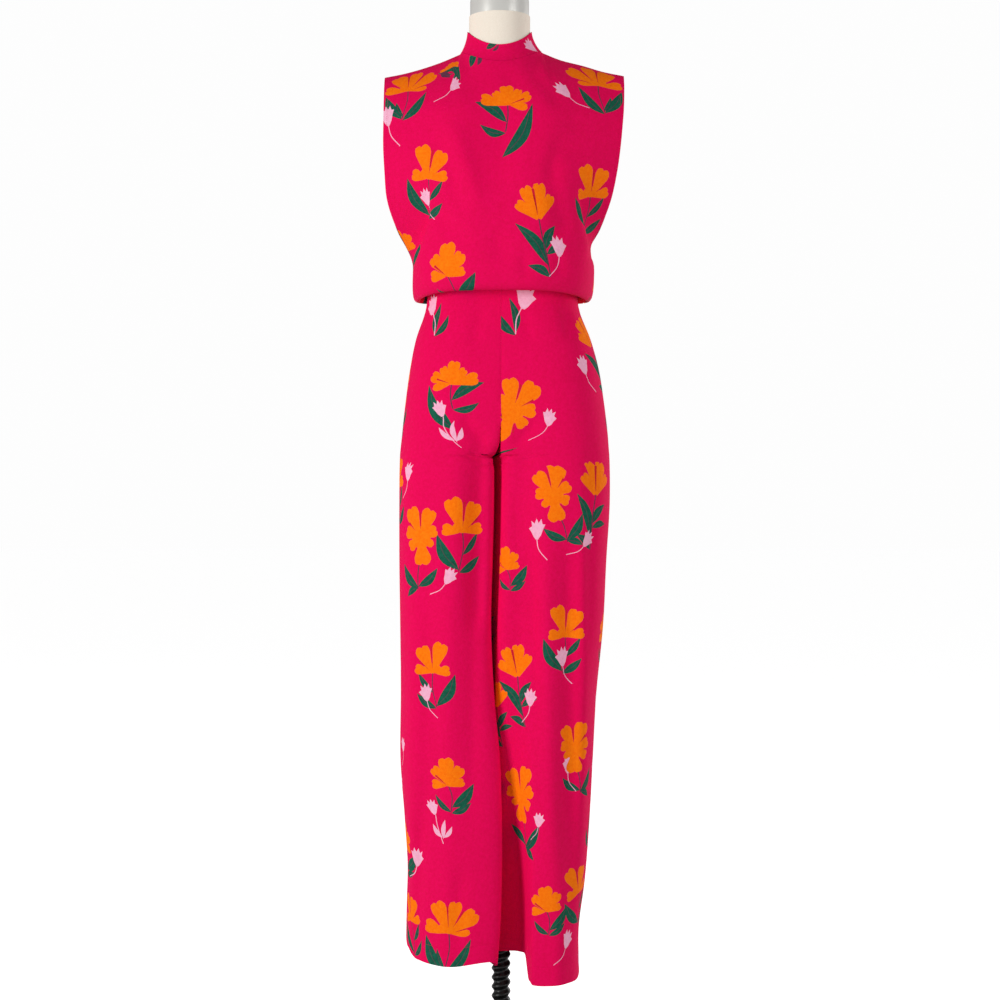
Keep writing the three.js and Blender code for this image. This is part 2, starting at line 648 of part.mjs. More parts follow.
// Strip of the zip's tapes behind the opening, over the face of the cloth before it is moved in
function tapeRows() {
  const last = LEVELS.length - 1;
  const positions = [TAPE.bottomLevel];
  for (let i = Math.ceil(TAPE.bottomLevel); i <= last; i += 1) positions.push(i);
  const halves = [-1, 1].map((side) => {
    const back = bodiceBackRows(positions, side, BACK_COUNT, YOKE_STEPS);
    const collar = collarRows(COLLAR_COUNT, COLLAR_STEPS)
      .map((row) => (side < 0 ? row : [...row].reverse())).slice(1);
    return [...back, ...collar];
  });
  return halves[0].map((right, i) => {
    const row = [];
    for (let k = 0; k < TAPE.columns; k += 1) {
      const x = mix(-TAPE.halfWidth, TAPE.halfWidth, k / (TAPE.columns - 1));
      row.push(x < 0 ? pointAtX(right, x) : pointAtX(halves[1][i], x));
      row[k].x = x;
    }
    return row;
  });
}

// Block in the slider's own directions: out from the cloth, and up along it
function block(Manifold, width, out, up) {
  return Manifold.cube([width, out[1] - out[0], up[1] - up[0]])
    .translate([-width / 2, out[0], up[0]]);
}

function fromManifold(solid) {
  const mesh = solid.getMesh();
  const geometry = new THREE.BufferGeometry();
  geometry.setAttribute('position', new THREE.Float32BufferAttribute(mesh.vertProperties, 3));
  geometry.setIndex(Array.from(mesh.triVerts));
  return geometry;
}

// Lays zip metal on the slope of the collar's back
function onCollar(geometry) {
  return geometry.rotateX(SLIDER.tilt).translate(0, SLIDER.y, SLIDER.z);
}

// Slider: a plate on the cloth with an arch that the pull tab's eye goes round
function sliderSolid(Manifold) {
  const roof = ARCH.height - ARCH.roof;
  const hole = ARCH.holeLength / 2;
  return block(Manifold, SLIDER.width, [0, SLIDER.plate], [-SLIDER.length / 2, SLIDER.length / 2])
    .add(block(Manifold, ARCH.width, [0, ARCH.height], [-ARCH.length / 2, ARCH.length / 2]))
    .subtract(block(Manifold, ARCH.width * 2, [SLIDER.plate, roof], [-hole, hole]));
}

// Pull tab: a flat plate hanging from the bar above its window, with a rounded end
function pullGeometry() {
  const [half, end] = [PULL.width / 2, PULL.bar / 2 - PULL.length];
  const outline = new THREE.Shape();
  outline.moveTo(half, PULL.bar / 2);
  outline.lineTo(-half, PULL.bar / 2);
  outline.lineTo(-half, end + half);
  outline.absarc(0, end + half, half, Math.PI, 2 * Math.PI, false);
  outline.lineTo(half, PULL.bar / 2);
  const window = new THREE.Path();
  const top = -PULL.bar / 2;
  window.moveTo(-PULL.window / 2, top);
  window.lineTo(PULL.window / 2, top);
  window.lineTo(PULL.window / 2, top - PULL.windowLength);
  window.lineTo(-PULL.window / 2, top - PULL.windowLength);
  outline.holes.push(window);
  const geometry = new THREE.ExtrudeGeometry(outline,
    { depth: PULL.wall, bevelEnabled: false, curveSegments: 8 });
  geometry.translate(0, 0, -PULL.wall / 2);
  geometry.rotateX(Math.PI / 2);
  geometry.translate(0, PULL_AXIS.out, PULL_AXIS.up);
  return onCollar(geometry);
}

// Trousers

// Quarter of a rounded section between two points
function quarter(from, to, round, startsAlongY) {
  const line = [];
  for (let s = 0; s <= 16; s += 1) {
    const angle = s / 16 * Math.PI / 2;
    const near = Math.cos(angle) ** (2 / round);
    const far = Math.sin(angle) ** (2 / round);
    line.push(startsAlongY
      ? flatPoint(to.x + (from.x - to.x) * near, from.y + (to.y - from.y) * far)
      : flatPoint(from.x + (to.x - from.x) * far, to.y + (from.y - to.y) * near));
  }
  return line;
}

// Inner wall from the seam to the inner turn, straight beside the post and then turning
function innerWall(seam, turn) {
  const line = [];
  const straight = Math.sign(turn.y) * Math.min(INNER_WALL_Y, Math.abs(turn.y) * 0.5);
  for (let s = 0; s < 16; s += 1) {
    const y = mix(seam.y, turn.y, s / 16);
    const out = Math.abs(y) > Math.abs(straight) ? (y - straight) / (turn.y - straight) : 0;
    line.push(flatPoint(mix(seam.x, turn.x, smooth(out)), y));
  }
  return line;
}

// How far the folds push the cloth in at a place
function foldDepth(folds, x, z) {
  let depth = 0;
  for (const values of folds) {
    const fold = Object.fromEntries(FOLD_COLUMNS.map((name, c) => [name, values[c]]));
    const run = (fold.topZ - z) / (fold.topZ - fold.bottomZ);
    const fade = smooth(run * FOLD_ENDS.top) * smooth((1 - run) * FOLD_ENDS.bottom + FOLD_ENDS.left);
    const away = (x - mix(fold.topX, fold.bottomX, run)) / fold.width;
    depth += run > 0 && run < 1.2 ? fold.depth * fade * Math.exp(-away * away) : 0;
  }
  return depth;
}

// Moves a point back where the leg is drawn back
function recess(point, z) {
  if (z >= RECESS[0][0]) return;
  const row = rowAt(RECESS, RECESS_COLUMNS, rowNumber(RECESS, z));
  const share = row.share * smooth((row.lipX - point.x) / row.blend);
  point.y = mix(point.y, Math.max(row.floorY, point.y), share);
}

// Section of a leg panel from the inseam or centre seam to the outseam
function legLine(leg, position, inFront) {
  const row = rowAt(leg.rows, LEG_COLUMNS, position);
  const seam = flatPoint(row.seamX, inFront ? row.seamY : row.riseY);
  const turn = inFront ? flatPoint(row.cornerX, row.cornerY) : flatPoint(row.turnX, row.turnY);
  const far = inFront ? flatPoint(row.frontX, row.frontY) : flatPoint(row.backX, row.backY);
  const side = flatPoint(row.sideX, row.sideY);
  const wall = Math.abs(seam.y - turn.y) > 1 ? innerWall(seam, turn) : [];
  const start = wall.length ? turn : seam;
  const inner = quarter(start, far, inFront ? ROUND.corner : ROUND.turn, true);
  const outer = quarter(far, side, inFront ? ROUND.front : ROUND.back, false);
  const line = [...wall, ...inner, ...outer.slice(1)];
  const folds = inFront ? leg.folds : BACK_FOLDS;
  line.forEach((p) => {
    if (inFront && leg.recess) recess(p, row.z);
    const keep = smooth((row.sideX - p.x) / FOLD_EASE.side) * smooth((p.x - turn.x) / FOLD_EASE.turn)
      * smooth((Math.abs(p.y) - FOLD_EASE.wallY) / FOLD_EASE.wallBlend);
    p.y += (inFront ? 1 : -1) * foldDepth(folds, p.x, row.z) * keep;
  });
  return { line, z: row.z };
}

// Rows of a leg panel at row numbers of its table, the hem lowered to its own line
function legRows(leg, positions, inFront, count) {
  const hem = HEMS[leg.name + (inFront ? 'Front' : 'Back')];
  return positions.map((position) => {
    const { line, z } = legLine(leg, position, inFront);
    const lowered = Math.max(0, (HEM_START - z) / (HEM_START - HEM_LEVEL));
    const points = spaced(line, count);
    return points.map((p, j) => {
      const share = j / (count - 1);
      const apart = inFront ? -SEAM / 2 : SEAM / 2;
      const near = position >= FORK ? 1 : smooth(share / SEAM_BLEND);
      return new THREE.Vector3(leg.side * (p.x + SEAM * SEAM_SIDE), p.y + apart * near,
        z + (along(hem, share) - HEM_LEVEL) * lowered);
    });
  });
}

const RIGHT = {
  name: 'right', side: -1, rows: RIGHT_LEG, folds: RIGHT_LEG_FOLDS, recess: false,
};
const LEFT = {
  name: 'left', side: 1, rows: LEFT_LEG, folds: LEFT_LEG_FOLDS, recess: true,
};

// Dress form

// Ring of the form at a row of its table
function formRing(row) {
  const ring = [];
  for (let j = 0; j < FORM_SIDES; j += 1) {
    const angle = 2 * Math.PI * j / FORM_SIDES;
    const [c, s] = [Math.cos(angle), Math.sin(angle)];
    const depth = s < 0 ? -row.front : row.back;
    ring.push(new THREE.Vector3(
      row.halfX * Math.sign(c) * Math.abs(c) ** (2 / FORM_ROUND),
      depth * Math.sign(s) * Math.abs(s) ** (2 / FORM_ROUND), row.z));
  }
  return ring;
}

// Point that the lines of the form's shoulder bend toward
function formBend(start, bend, sideways) {
  return new THREE.Vector3(start.x * bend.x, start.y * mix(bend.y, bend.sideY, sideways),
    mix(bend.z, bend.sideZ, sideways));
}

function formRings() {
  const rings = FORM.map((values, i) => formRing(rowAt(FORM, FORM_COLUMNS, i)));
  const chest = rings[rings.length - 1];
  for (const v of FORM_SHOULDER_STEPS) {
    const w = 1 - v;
    rings.push(chest.map((start, j) => {
      const angle = 2 * Math.PI * j / FORM_SIDES;
      const [c, s] = [Math.cos(angle), Math.sin(angle)];
      const sideways = Math.abs(c) ** FORM_SIDEWAYS;
      const foot = mix(mix(FORM_NECK.back, FORM_NECK.front, Math.max(0, -s)), FORM_NECK.side,
        sideways);
      const neck = new THREE.Vector3(FORM_NECK.x + FORM_NECK.radius * c,
        FORM_NECK.y + FORM_NECK.radius * s, foot);
      return start.clone().multiplyScalar(w ** 3)
        .addScaledVector(formBend(start, FORM_LOW, sideways), 3 * w * w * v)
        .addScaledVector(formBend(start, FORM_HIGH, sideways), 3 * w * v * v)
        .addScaledVector(neck, v ** 3);
    }));
  }
  const top = rings[rings.length - 1].map((p) => p.clone().setZ(FORM_NECK.top));
  return [...rings, top];
}

// Stand

// Round thread, one start: the ring's middle circles the axis once a pitch
function screwRings() {
  const rows = Math.round((SCREW.top - SCREW.bottom) / SCREW.pitch * SCREW_ROWS);
  const rings = [];
  for (let i = 0; i <= rows; i += 1) {
    const z = mix(SCREW.bottom, SCREW.top, i / rows);
    const ring = [];
    for (let j = 0; j < SCREW_SIDES; j += 1) {
      const angle = 2 * Math.PI * j / SCREW_SIDES;
      const radius = SCREW.mean + SCREW.swing * Math.cos(angle - 2 * Math.PI * z / SCREW.pitch);
      ring.push(new THREE.Vector3(radius * Math.cos(angle), radius * Math.sin(angle), z));
    }
    rings.push(ring);
  }
  return rings;
}

const group = new THREE.Group();
const add = (name, geometry, color) => {
  const mesh = new THREE.Mesh(geometry, new THREE.MeshStandardMaterial({ color }));
  mesh.name = name;
  group.add(mesh);
};
const centre = { x: 0, y: 0 };
const levels = LEVELS.map((row, i) => i);

// Side seam below the underarm, and the shoulder seam along the last row
function squareBodice(side, count, middle) {
  return (normal, i, j) => {
    const share = Math.abs(j - middle) / (count - 1);
    const onRight = (side || Math.sign(j - middle)) < 0;
    const column = LEVEL_COLUMNS.indexOf(onRight ? 'rightEdge' : 'leftEdge');
    const edge = i < LEVELS.length ? LEVELS[i][column] : 1;
    const shoulder = i === LEVELS.length - 1 + YOKE_STEPS && share >= NECK_SHARE;
    if (shoulder || (share === 1 && edge === 0)) normal.y = 0;
  };
}

add('bodice_front', sheet(bodiceFrontRows(levels, FRONT_COUNT, YOKE_STEPS), CLOTH, centre,
  squareBodice(0, FRONT_COUNT, FRONT_COUNT - 1)), 0xe6005a);
for (const [name, side] of [['right', -1], ['left', 1]]) {
  add(`bodice_back_${name}`, sheet(bodiceBackRows(levels, side, BACK_COUNT, YOKE_STEPS), CLOTH,
    centre, squareBodice(side, BACK_COUNT, 0)), 0xd8004f);
}
add('collar', sheet(collarRows(COLLAR_COUNT, COLLAR_STEPS), CLOTH, centre), 0xe6005a);
for (const leg of [RIGHT, LEFT]) {
  const rows = leg.rows.map((row, i) => i);
  const inner = { x: leg.side * LEG_MIDDLE, y: 0 };
  const squareLeg = (count) => (normal, i, j) => {
    if (j === count - 1 || (j === 0 && i >= FORK)) normal.y = 0;
  };
  add(`trouser_front_${leg.name}`, sheet(legRows(leg, rows, true, LEG_FRONT_COUNT), CLOTH,
    inner, squareLeg(LEG_FRONT_COUNT)), 0xe6005a);
  add(`trouser_back_${leg.name}`, sheet(legRows(leg, rows, false, LEG_BACK_COUNT), CLOTH,
    inner, squareLeg(LEG_BACK_COUNT)), 0xd8004f);
}
const wasm = await Module();
wasm.setup();
add('zip_tape', sheet(moved(tapeRows(), centre, -CLOTH - TAPE.behind), TAPE.wall, centre), 0xc0004a);
add('zip_slider', onCollar(fromManifold(sliderSolid(wasm.Manifold))), 0xb0b0b0);
add('zip_pull', pullGeometry(), 0xb0b0b0);
add('form_torso', loft(formRings()), 0xf0e6d6);
add('form_cap', turned(CAP, TURNED_SIDES.cap, FORM_NECK.x, FORM_NECK.y), 0xb8b8b8);
add('post_flange', turned([[FLANGE.radius, FLANGE.bottom], [FLANGE.radius, FLANGE.top]],
  TURNED_SIDES.flange), 0x8a8a8a);
add('post_tube', turned([[POST.radius, POST.bottom], [POST.radius, POST.top]],
  TURNED_SIDES.tube), 0xa0a0a0);
add('post_screw', loft(screwRings()), 0x1c1c1c);
add('stand_base', turned(BASE, TURNED_SIDES.base), 0x1c1c1c);
export default group;
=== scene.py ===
import math

import bpy
import numpy as np
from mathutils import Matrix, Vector
from mathutils.geometry import delaunay_2d_cdt


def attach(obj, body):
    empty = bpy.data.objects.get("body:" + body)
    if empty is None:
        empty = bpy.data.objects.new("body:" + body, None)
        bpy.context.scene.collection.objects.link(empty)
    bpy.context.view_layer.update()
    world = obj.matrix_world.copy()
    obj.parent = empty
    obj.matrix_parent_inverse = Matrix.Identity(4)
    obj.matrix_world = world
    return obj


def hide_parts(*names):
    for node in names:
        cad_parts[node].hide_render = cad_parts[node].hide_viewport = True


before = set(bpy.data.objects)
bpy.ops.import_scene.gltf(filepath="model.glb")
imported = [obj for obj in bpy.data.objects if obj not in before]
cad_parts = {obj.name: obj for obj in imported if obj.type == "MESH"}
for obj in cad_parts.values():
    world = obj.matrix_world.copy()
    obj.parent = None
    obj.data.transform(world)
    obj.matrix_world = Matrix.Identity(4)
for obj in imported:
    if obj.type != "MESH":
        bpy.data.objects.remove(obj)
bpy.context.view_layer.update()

MM = 0.001

# Cloth

CLOTH = 1.2
SEAM = 0.1
BACK_OPENING = 1.2
CURVE_STEPS = 16

# Bodice levels from the waist seam round the blouson roll and up, in millimetres
LEVEL_COLUMNS = ("z", "drop", "rightX", "rightEdge", "leftX", "leftEdge")
LEVELS = (
    (1150, 0, 115, 0, 121, 0),
    (1141, 6, 122, 0, 128, 0),
    (1138, 8, 128, 0, 131.5, 0),
    (1144, 7, 133, 0, 138, 0),
    (1158, 4, 134.5, 0, 141, 0),
    (1176, 0, 134, 0, 141.5, 0),
    (1188, 0, 134.2, 2, 140, 0),
    (1202, 0, 138.5, 12, 137, 1),
    (1218, 0, 146, 23, 137.5, 9),
    (1245, 0, 160, 38, 152, 30),
    (1280, 0, 170.8, 50, 165, 47),
    (1320, 0, 174, 56, 173.5, 55),
    (1360, 0, 176, 55, 179, 54),
    (1400, 0, 176, 47, 183, 46),
)
FRONT_COLUMNS = (
    "centreY",
    "rightBustX", "rightBustY", "rightFoldX", "rightFoldY", "rightValleyX", "rightValleyY",
    "leftBustX", "leftBustY", "leftFoldX", "leftFoldY", "leftValleyX", "leftValleyY",
)
FRONT = (
    (-79, 45, -78.6, 84, -65, 106, -37.5, 46, -78.6, 88, -65, 110.5, -37.5),
    (-94, 52, -91, 92, -72, 114, -40, 53, -91, 95, -72, 118, -40),
    (-104, 55, -100, 99, -77, 121, -42, 56, -100, 102, -77, 124, -42),
    (-112, 58, -107, 105, -81, 127, -42, 59, -107, 109, -80, 131, -42),
    (-117, 60, -112, 110, -84, 130, -44, 61, -112, 114, -83, 136, -44),
    (-118.5, 62, -113, 115, -80, 130, -42, 63, -113, 118, -82, 138, -43),
    (-119, 64, -113, 122, -72, 127, -44, 64, -113, 121, -80, 137, -41),
    (-119.5, 64, -114, 119, -73, 119, -49, 65, -114, 127, -72, 131, -44),
    (-120, 66, -114, 114, -76, 113, -56, 66, -114, 127, -71, 126, -49),
    (-120, 68, -115, 107, -84, 108, -70, 68, -115, 121, -77, 121, -60),
    (-118, 70, -116, 101, -94, 110, -83, 70, -116, 113, -89, 119, -77),
    (-112, 70, -114, 108, -92, 130, -80, 70, -114, 112, -92, 134, -79),
    (-103, 68, -106, 110, -86, 142, -72, 68, -106, 112, -86, 146, -71),
    (-92, 66, -96, 110, -78, 145, -62, 66, -96, 112, -78, 149, -62),
)
BACK_COLUMNS = ("centreY", "bladeX", "bladeY", "foldX", "foldY")
BACK = (
    (75, 50, 74.5, 98, 58),
    (88, 54, 86, 98, 62),
    (98, 58, 94, 104, 65),
    (106, 60, 101, 110, 68),
    (110, 62, 104, 113, 68),
    (111, 64, 106, 114, 68),
    (111, 64, 106, 114, 66),
    (111, 66, 106, 113, 66),
    (111, 68, 107, 114, 67),
    (110, 70, 107, 120, 74),
    (108, 72, 106, 126, 80),
    (105, 72, 104, 130, 82),
    (101, 72, 100, 132, 79),
    (94, 70, 93, 132, 70),
)
SHOULDER_COLUMNS = ("share", "rightX", "rightZ", "leftX", "leftZ", "y")
SHOULDER = (
    (0, 61.7, 1508, 62, 1510.5, 3),
    (0.25, 90, 1496.5, 91, 1499.5, 5),
    (0.5, 119, 1487, 124, 1491.5, 7),
    (0.75, 148, 1479.5, 156, 1482.5, 9),
    (1, 177, 1474, 187, 1476.5, 10),
)
NECK_SHARE = 0.44
NECK_FRONT = np.array((-1.0, -61.0, 1484.0))
NECK_BACK = np.array((-1.0, 57.0, 1514.0))
COLLAR_TOP = {"x": -2.1, "halfX": 49.0, "front": -51.5, "back": 49.5}
COLLAR_TOP_Z = {"front": 1511.0, "side": 1541.0, "back": 1545.0}

# Trouser legs, X outward toward each leg's own side
LEG_COLUMNS = (
    "z", "seamX", "seamY", "cornerX", "cornerY", "frontX", "frontY",
    "sideX", "sideY", "backX", "backY", "turnX", "turnY", "riseY",
)
RIGHT_LEG = (
    (1150, 0, -77, 0, -77, 30, -77, 111, 0, 30, 73, 0, 73, 73),
    (1121, 0, -80, 0, -80, 32, -80, 113.5, 0, 32, 79, 0, 79, 79),
    (1073, 0, -85, 0, -85, 40, -86, 129, 0, 40, 92, 0, 91, 91),
    (1026, 0, -88, 0, -88, 48, -90, 138.3, 1, 48, 101, 0, 99, 99),
    (982, 0, -89, 0, -89, 56, -92, 144.4, 2, 54, 106, 0, 103, 103),
    (940, 0, -88, 0, -88, 64, -93, 149, 2, 60, 108, 0, 98, 98),
    (925, 1.5, -80, 1.2, -87, 68, -93, 150.5, 2, 64, 108, 1.5, 84, 84),
    (912, 6, -64, 2.6, -81, 70, -93, 152, 2, 68, 108, 5, 62, 62),
    (904, 11.5, -45, 5.4, -75, 72, -92, 152.8, 2, 70, 107, 11.5, 45, 42),
    (899, 17, -22, 8.2, -72, 73, -92, 153.2, 2, 72, 107, 15, 46, 21),
    (897, 18.7, 0, 9.6, -71, 74, -92, 153.3, 2, 74, 106, 15, 47, 0),
    (874, 20.5, 0, 9.9, -66, 75, -91, 154, 2, 76, 105, 14, 50, 0),
    (830, 20.8, 0, 9.9, -60, 76, -90, 154.3, 2, 78, 102, 15, 50, 0),
    (740, 21, 0, 12, -54, 80, -87, 154.3, 2, 80, 96, 16, 48, 0),
    (640, 21, 0, 14.3, -54, 82, -85, 153, 2, 80, 92, 16, 46, 0),
    (540, 21, 0, 10, -56, 80, -83, 152, 2, 78, 89, 16, 44, 0),
    (440, 21, 0, 1, -58, 75, -81, 152.6, 2, 76, 87, 15, 44, 0),
    (340, 21, 0, -1.6, -60, 72, -80, 146, 2, 74, 86, 15, 44, 0),
    (250, 21, 0, -1.4, -60, 70, -79, 141.5, 2, 72, 85, 15, 44, 0),
    (180, 21, 0, 0.5, -60, 70, -78, 143, 2, 72, 85, 15, 44, 0),
    (112, 21, 0, 5, -60, 70, -77, 144, 2, 72, 85, 15, 44, 0),
)
LEFT_LEG = (
    (1150, 0, -77, 0, -77, 30, -77, 115.5, 0, 30, 73, 0, 73, 73),
    (1121, 0, -80, 0, -80, 32, -80, 118, 0, 32, 79, 0, 79, 79),
    (1073, 0, -85, 0, -85, 40, -86, 136, 0, 40, 92, 0, 91, 91),
    (1026, 0, -88, 0, -88, 48, -90, 148.8, 1, 48, 101, 0, 99, 99),
    (982, 0, -89, 0, -89, 58, -92, 155.8, 2, 54, 106, 0, 103, 103),
    (940, 0, -88, 0, -88, 66, -93, 161, 2, 62, 108, 0, 98, 98),
    (925, -1.5, -80, -0.6, -87, 70, -93, 162.5, 2, 66, 108, -1.5, 84, 84),
    (912, -6, -64, -0.8, -81, 72, -93, 163.4, 2, 70, 108, -5, 62, 62),
    (904, -11.5, -45, -0.9, -75, 74, -92, 164, 2, 72, 107, -11, 45, 42),
    (899, -17, -22, -0.6, -72, 75, -92, 164.4, 2, 74, 107, -11, 46, 21),
    (897, -18.7, 0, 0.2, -71, 76, -92, 164.5, 2, 76, 106, -10.5, 47, 0),
    (874, -17.6, 0, 1, -68, 77, -91, 165.2, 2, 78, 105, -11, 50, 0),
    (830, -17.6, 0, 0, -63, 78, -90, 165.2, 2, 80, 102, -10, 50, 0),
    (740, -17.6, 0, -1.9, -58, 80, -88, 160, 2, 80, 96, -10, 48, 0),
    (640, -17.6, 0, -6, -54, 82, -86, 155, 2, 80, 92, -10, 46, 0),
    (540, -17.6, 0, -10, -44, 80, -85, 145, 2, 76, 89, -10, 44, 0),
    (440, -17.6, 0, -13, -30, 78, -83, 139.4, 2, 72, 87, -10, 44, 0),
    (340, -17.6, 0, -15, -20, 77, -82, 134, 2, 70, 86, -10, 44, 0),
    (250, -17.6, 0, -16.5, -14, 76, -81, 127, 2, 68, 85, -10, 44, 0),
    (180, -17.6, 0, -17, -12, 76, -80, 118, 0, 66, 85, -10, 44, 0),
    (112, -17.6, 0, -17, -12, 76, -79, 118.5, 0, 66, 85, -10, 44, 0),
)
FORK = 10
SEAM_SLIDE = 3.5
INNER_WALL_Y = 22
ROUND = {"corner": 2.4, "front": 2.3, "back": 2.3, "turn": 2.3}

# Long folds pressed into the legs: x and z of the top and the bottom, depth, width
RIGHT_LEG_FOLDS = (
    (28, 960, 36, 640, 7, 16),
    (118, 420, 131, 60, 9, 11),
    (92, 700, 104, 100, 4, 16),
)
LEFT_LEG_FOLDS = (
    (112, 860, 104, 60, 5, 14),
    (36, 980, 34, 560, 5, 18),
)
BACK_FOLDS = (
    (60, 980, 56, 60, 6, 18),
    (104, 900, 108, 60, 5, 16),
)
FOLD_EASE = {"side": 24, "turn": 20, "wallY": 15, "wallBlend": 30}
RECESS_COLUMNS = ("z", "lipX", "blend", "floorY", "share")
RECESS = (
    (700, 50, 44, -50, 0.0),
    (560, 50, 42, -42, 0.3),
    (420, 50, 36, -36, 0.6),
    (300, 49, 26, -32, 0.85),
    (220, 47, 17, -29, 0.97),
    (112, 46, 12, -27, 1.0),
)
HEM_START = 400
HEM_LEVEL = 112
HEMS = {
    "rightFront": ((0, 148), (0.2, 134), (0.32, 144), (0.55, 138), (0.78, 143), (0.88, 158), (1, 172)),
    "rightBack": ((0, 148), (0.5, 164), (1, 172)),
    "leftFront": ((0, 150), (0.24, 151), (0.32, 148), (0.42, 114), (0.55, 110), (0.8, 112), (1, 118)),
    "leftBack": ((0, 150), (0.5, 132), (1, 118)),
}


def mix(a, b, t):
    return a + (b - a) * t


def eased(t):
    return t * t * (3 - 2 * t)


def smooth(t):
    return eased(min(1.0, max(0.0, t)))


def hermite(a, b, ta, tb, t):
    return (
        a * (2 * t**3 - 3 * t**2 + 1) + ta * (t**3 - 2 * t**2 + t)
        + b * (3 * t**2 - 2 * t**3) + tb * (t**3 - t**2)
    )


def row_at(table, columns, position):
    """One row of a table at a fractional row number, every column by its name."""
    last = len(table) - 1
    i = min(last - 1, max(0, int(math.floor(position))))
    row = {}
    for c, name in enumerate(columns):
        a, b = table[i][c], table[i + 1][c]
        ta = (b - table[i - 1][c]) / 2 if i > 0 else b - a
        tb = (table[i + 2][c] - a) / 2 if i + 1 < last else b - a
        row[name] = hermite(a, b, ta, tb, position - i)
    return row


def row_by_height(table, columns, position):
    """Row of a table whose first column is a height, smooth along the height itself."""
    last = len(table) - 1
    i = min(last - 1, max(0, int(math.floor(position))))
    t = position - i

    def slope(k, c):
        if k <= 0 or k >= last:
            j = 0 if k <= 0 else last - 1
            return (table[j + 1][c] - table[j][c]) / (table[j + 1][0] - table[j][0])
        before, after = table[k][0] - table[k - 1][0], table[k + 1][0] - table[k][0]
        falls = (table[k][c] - table[k - 1][c]) / before, (table[k + 1][c] - table[k][c]) / after
        return (falls[0] * after + falls[1] * before) / (before + after)

    gap = table[i + 1][0] - table[i][0]
    row = {columns[0]: table[i][0] + gap * t}
    for c, name in enumerate(columns[1:], 1):
        row[name] = hermite(table[i][c], table[i + 1][c], slope(i, c) * gap, slope(i + 1, c) * gap, t)
    return row


def row_number(table, value):
    rising = table[1][0] > table[0][0]
    for i in range(len(table) - 1):
        a, b = table[i][0], table[i + 1][0]
        if value <= b if rising else value >= b:
            return i + max(0.0, (value - a) / (b - a))
    return len(table) - 1


def curve_through(points, steps):
    """Smooth curve through points in a plane, as a fine polyline."""
    pts = np.asarray(points, float)
    gap = np.maximum(np.sqrt(np.linalg.norm(np.diff(pts, axis=0), axis=1)), 1e-6)
    slope = np.diff(pts, axis=0) / gap[:, None]
    tangent = np.empty_like(pts)
    tangent[0], tangent[-1] = slope[0], slope[-1]
    for i in range(1, len(pts) - 1):
        whole = gap[i - 1] + gap[i]
        tangent[i] = slope[i - 1] * gap[i] / whole + slope[i] * gap[i - 1] / whole
    line = []
    for i in range(len(pts) - 1):
        for s in range(steps):
            line.append(hermite(pts[i], pts[i + 1], tangent[i] * gap[i], tangent[i + 1] * gap[i], s / steps))
    line.append(pts[-1])
    return np.array(line)


def spaced(line, count):
    """The polyline's points at even shares of its length."""
    step = np.linalg.norm(np.diff(line, axis=0), axis=1)
    length = np.concatenate(([0], np.cumsum(step)))
    at = np.linspace(0, length[-1], count)
    return np.stack([np.interp(at, length, line[:, k]) for k in range(line.shape[1])], axis=1)


def along(pairs, share):
    for a, b in zip(pairs, pairs[1:]):
        if share <= b[0]:
            return mix(a[1], b[1], smooth((share - a[0]) / (b[0] - a[0])))
    return pairs[-1][1]


# Bodice

DROP = {"rate": 1.4, "wait": 0.4}
# The roll's levels come first, each with the same number of rows
ROLL_LEVELS = 4
ROLL_ROWS = 3
# Yoke above the levels: how strongly it leaves the chest and arrives at its edge, the neck's shares
# where the arrival turns from the neck's way to the shoulder's, and those ways, outward and up
YOKE = {"leave": 1.1, "arrive": 0.9, "from": 0.5, "over": 0.6, "neck": (0.5, 0.9), "shoulder": (1, 0.25)}
# Collar: how its top dips in front, its start inside and above the seam, and how it leaves and arrives
COLLAR = {"dip": 1.5, "startIn": 0.02, "startUp": 0.35, "leaveIn": 1.5, "leaveUp": 0.7, "arriveIn": 0.1}


def lowered(level, share):
    """Height of a level's point, which drops toward the side."""
    return level["z"] - level["drop"] * smooth(share * DROP["rate"] - DROP["wait"])


def half_name(side):
    return "right" if side < 0 else "left"


def front_half(position, side, count):
    level = row_at(LEVELS, LEVEL_COLUMNS, position)
    f = row_at(FRONT, FRONT_COLUMNS, position)
    left, right = (
        [(level[s + "X"], -level[s + "Edge"] - SEAM / 2)]
        + [(f[s + place + "X"], f[s + place + "Y"]) for place in ("Valley", "Fold", "Bust")]
        for s in ("left", "right")
    )
    line = curve_through(left + [(0, f["centreY"])] + [(-x, y) for x, y in right[::-1]], CURVE_STEPS)
    middle = (len(line) - 1) // 2
    half = line[middle:] if side < 0 else line[: middle + 1][::-1]
    z = [lowered(level, j / (count - 1)) for j in range(count)]
    return np.column_stack((spaced(half, count), z))


def back_half(position, side, count):
    level = row_at(LEVELS, LEVEL_COLUMNS, position)
    b = row_at(BACK, BACK_COLUMNS, position)
    half = half_name(side)
    points = (
        (-b["bladeX"], b["bladeY"]), (0, b["centreY"]), (b["bladeX"], b["bladeY"]), (b["foldX"], b["foldY"]),
        (level[half + "X"], level[half + "Edge"] + SEAM / 2),
    )
    flat = spaced(curve_through(points, CURVE_STEPS)[CURVE_STEPS:], count)
    rows = []
    for j, p in enumerate(flat):
        share = j / (count - 1)
        rows.append((side * (p[0] + BACK_OPENING / 2 * (1 - share)), p[1], lowered(level, share)))
    return np.array(rows)


def shoulder_point(side, position):
    row, half = row_at(SHOULDER, SHOULDER_COLUMNS, position), half_name(side)
    return np.array((side * row[half + "X"], row["y"], row[half + "Z"]))


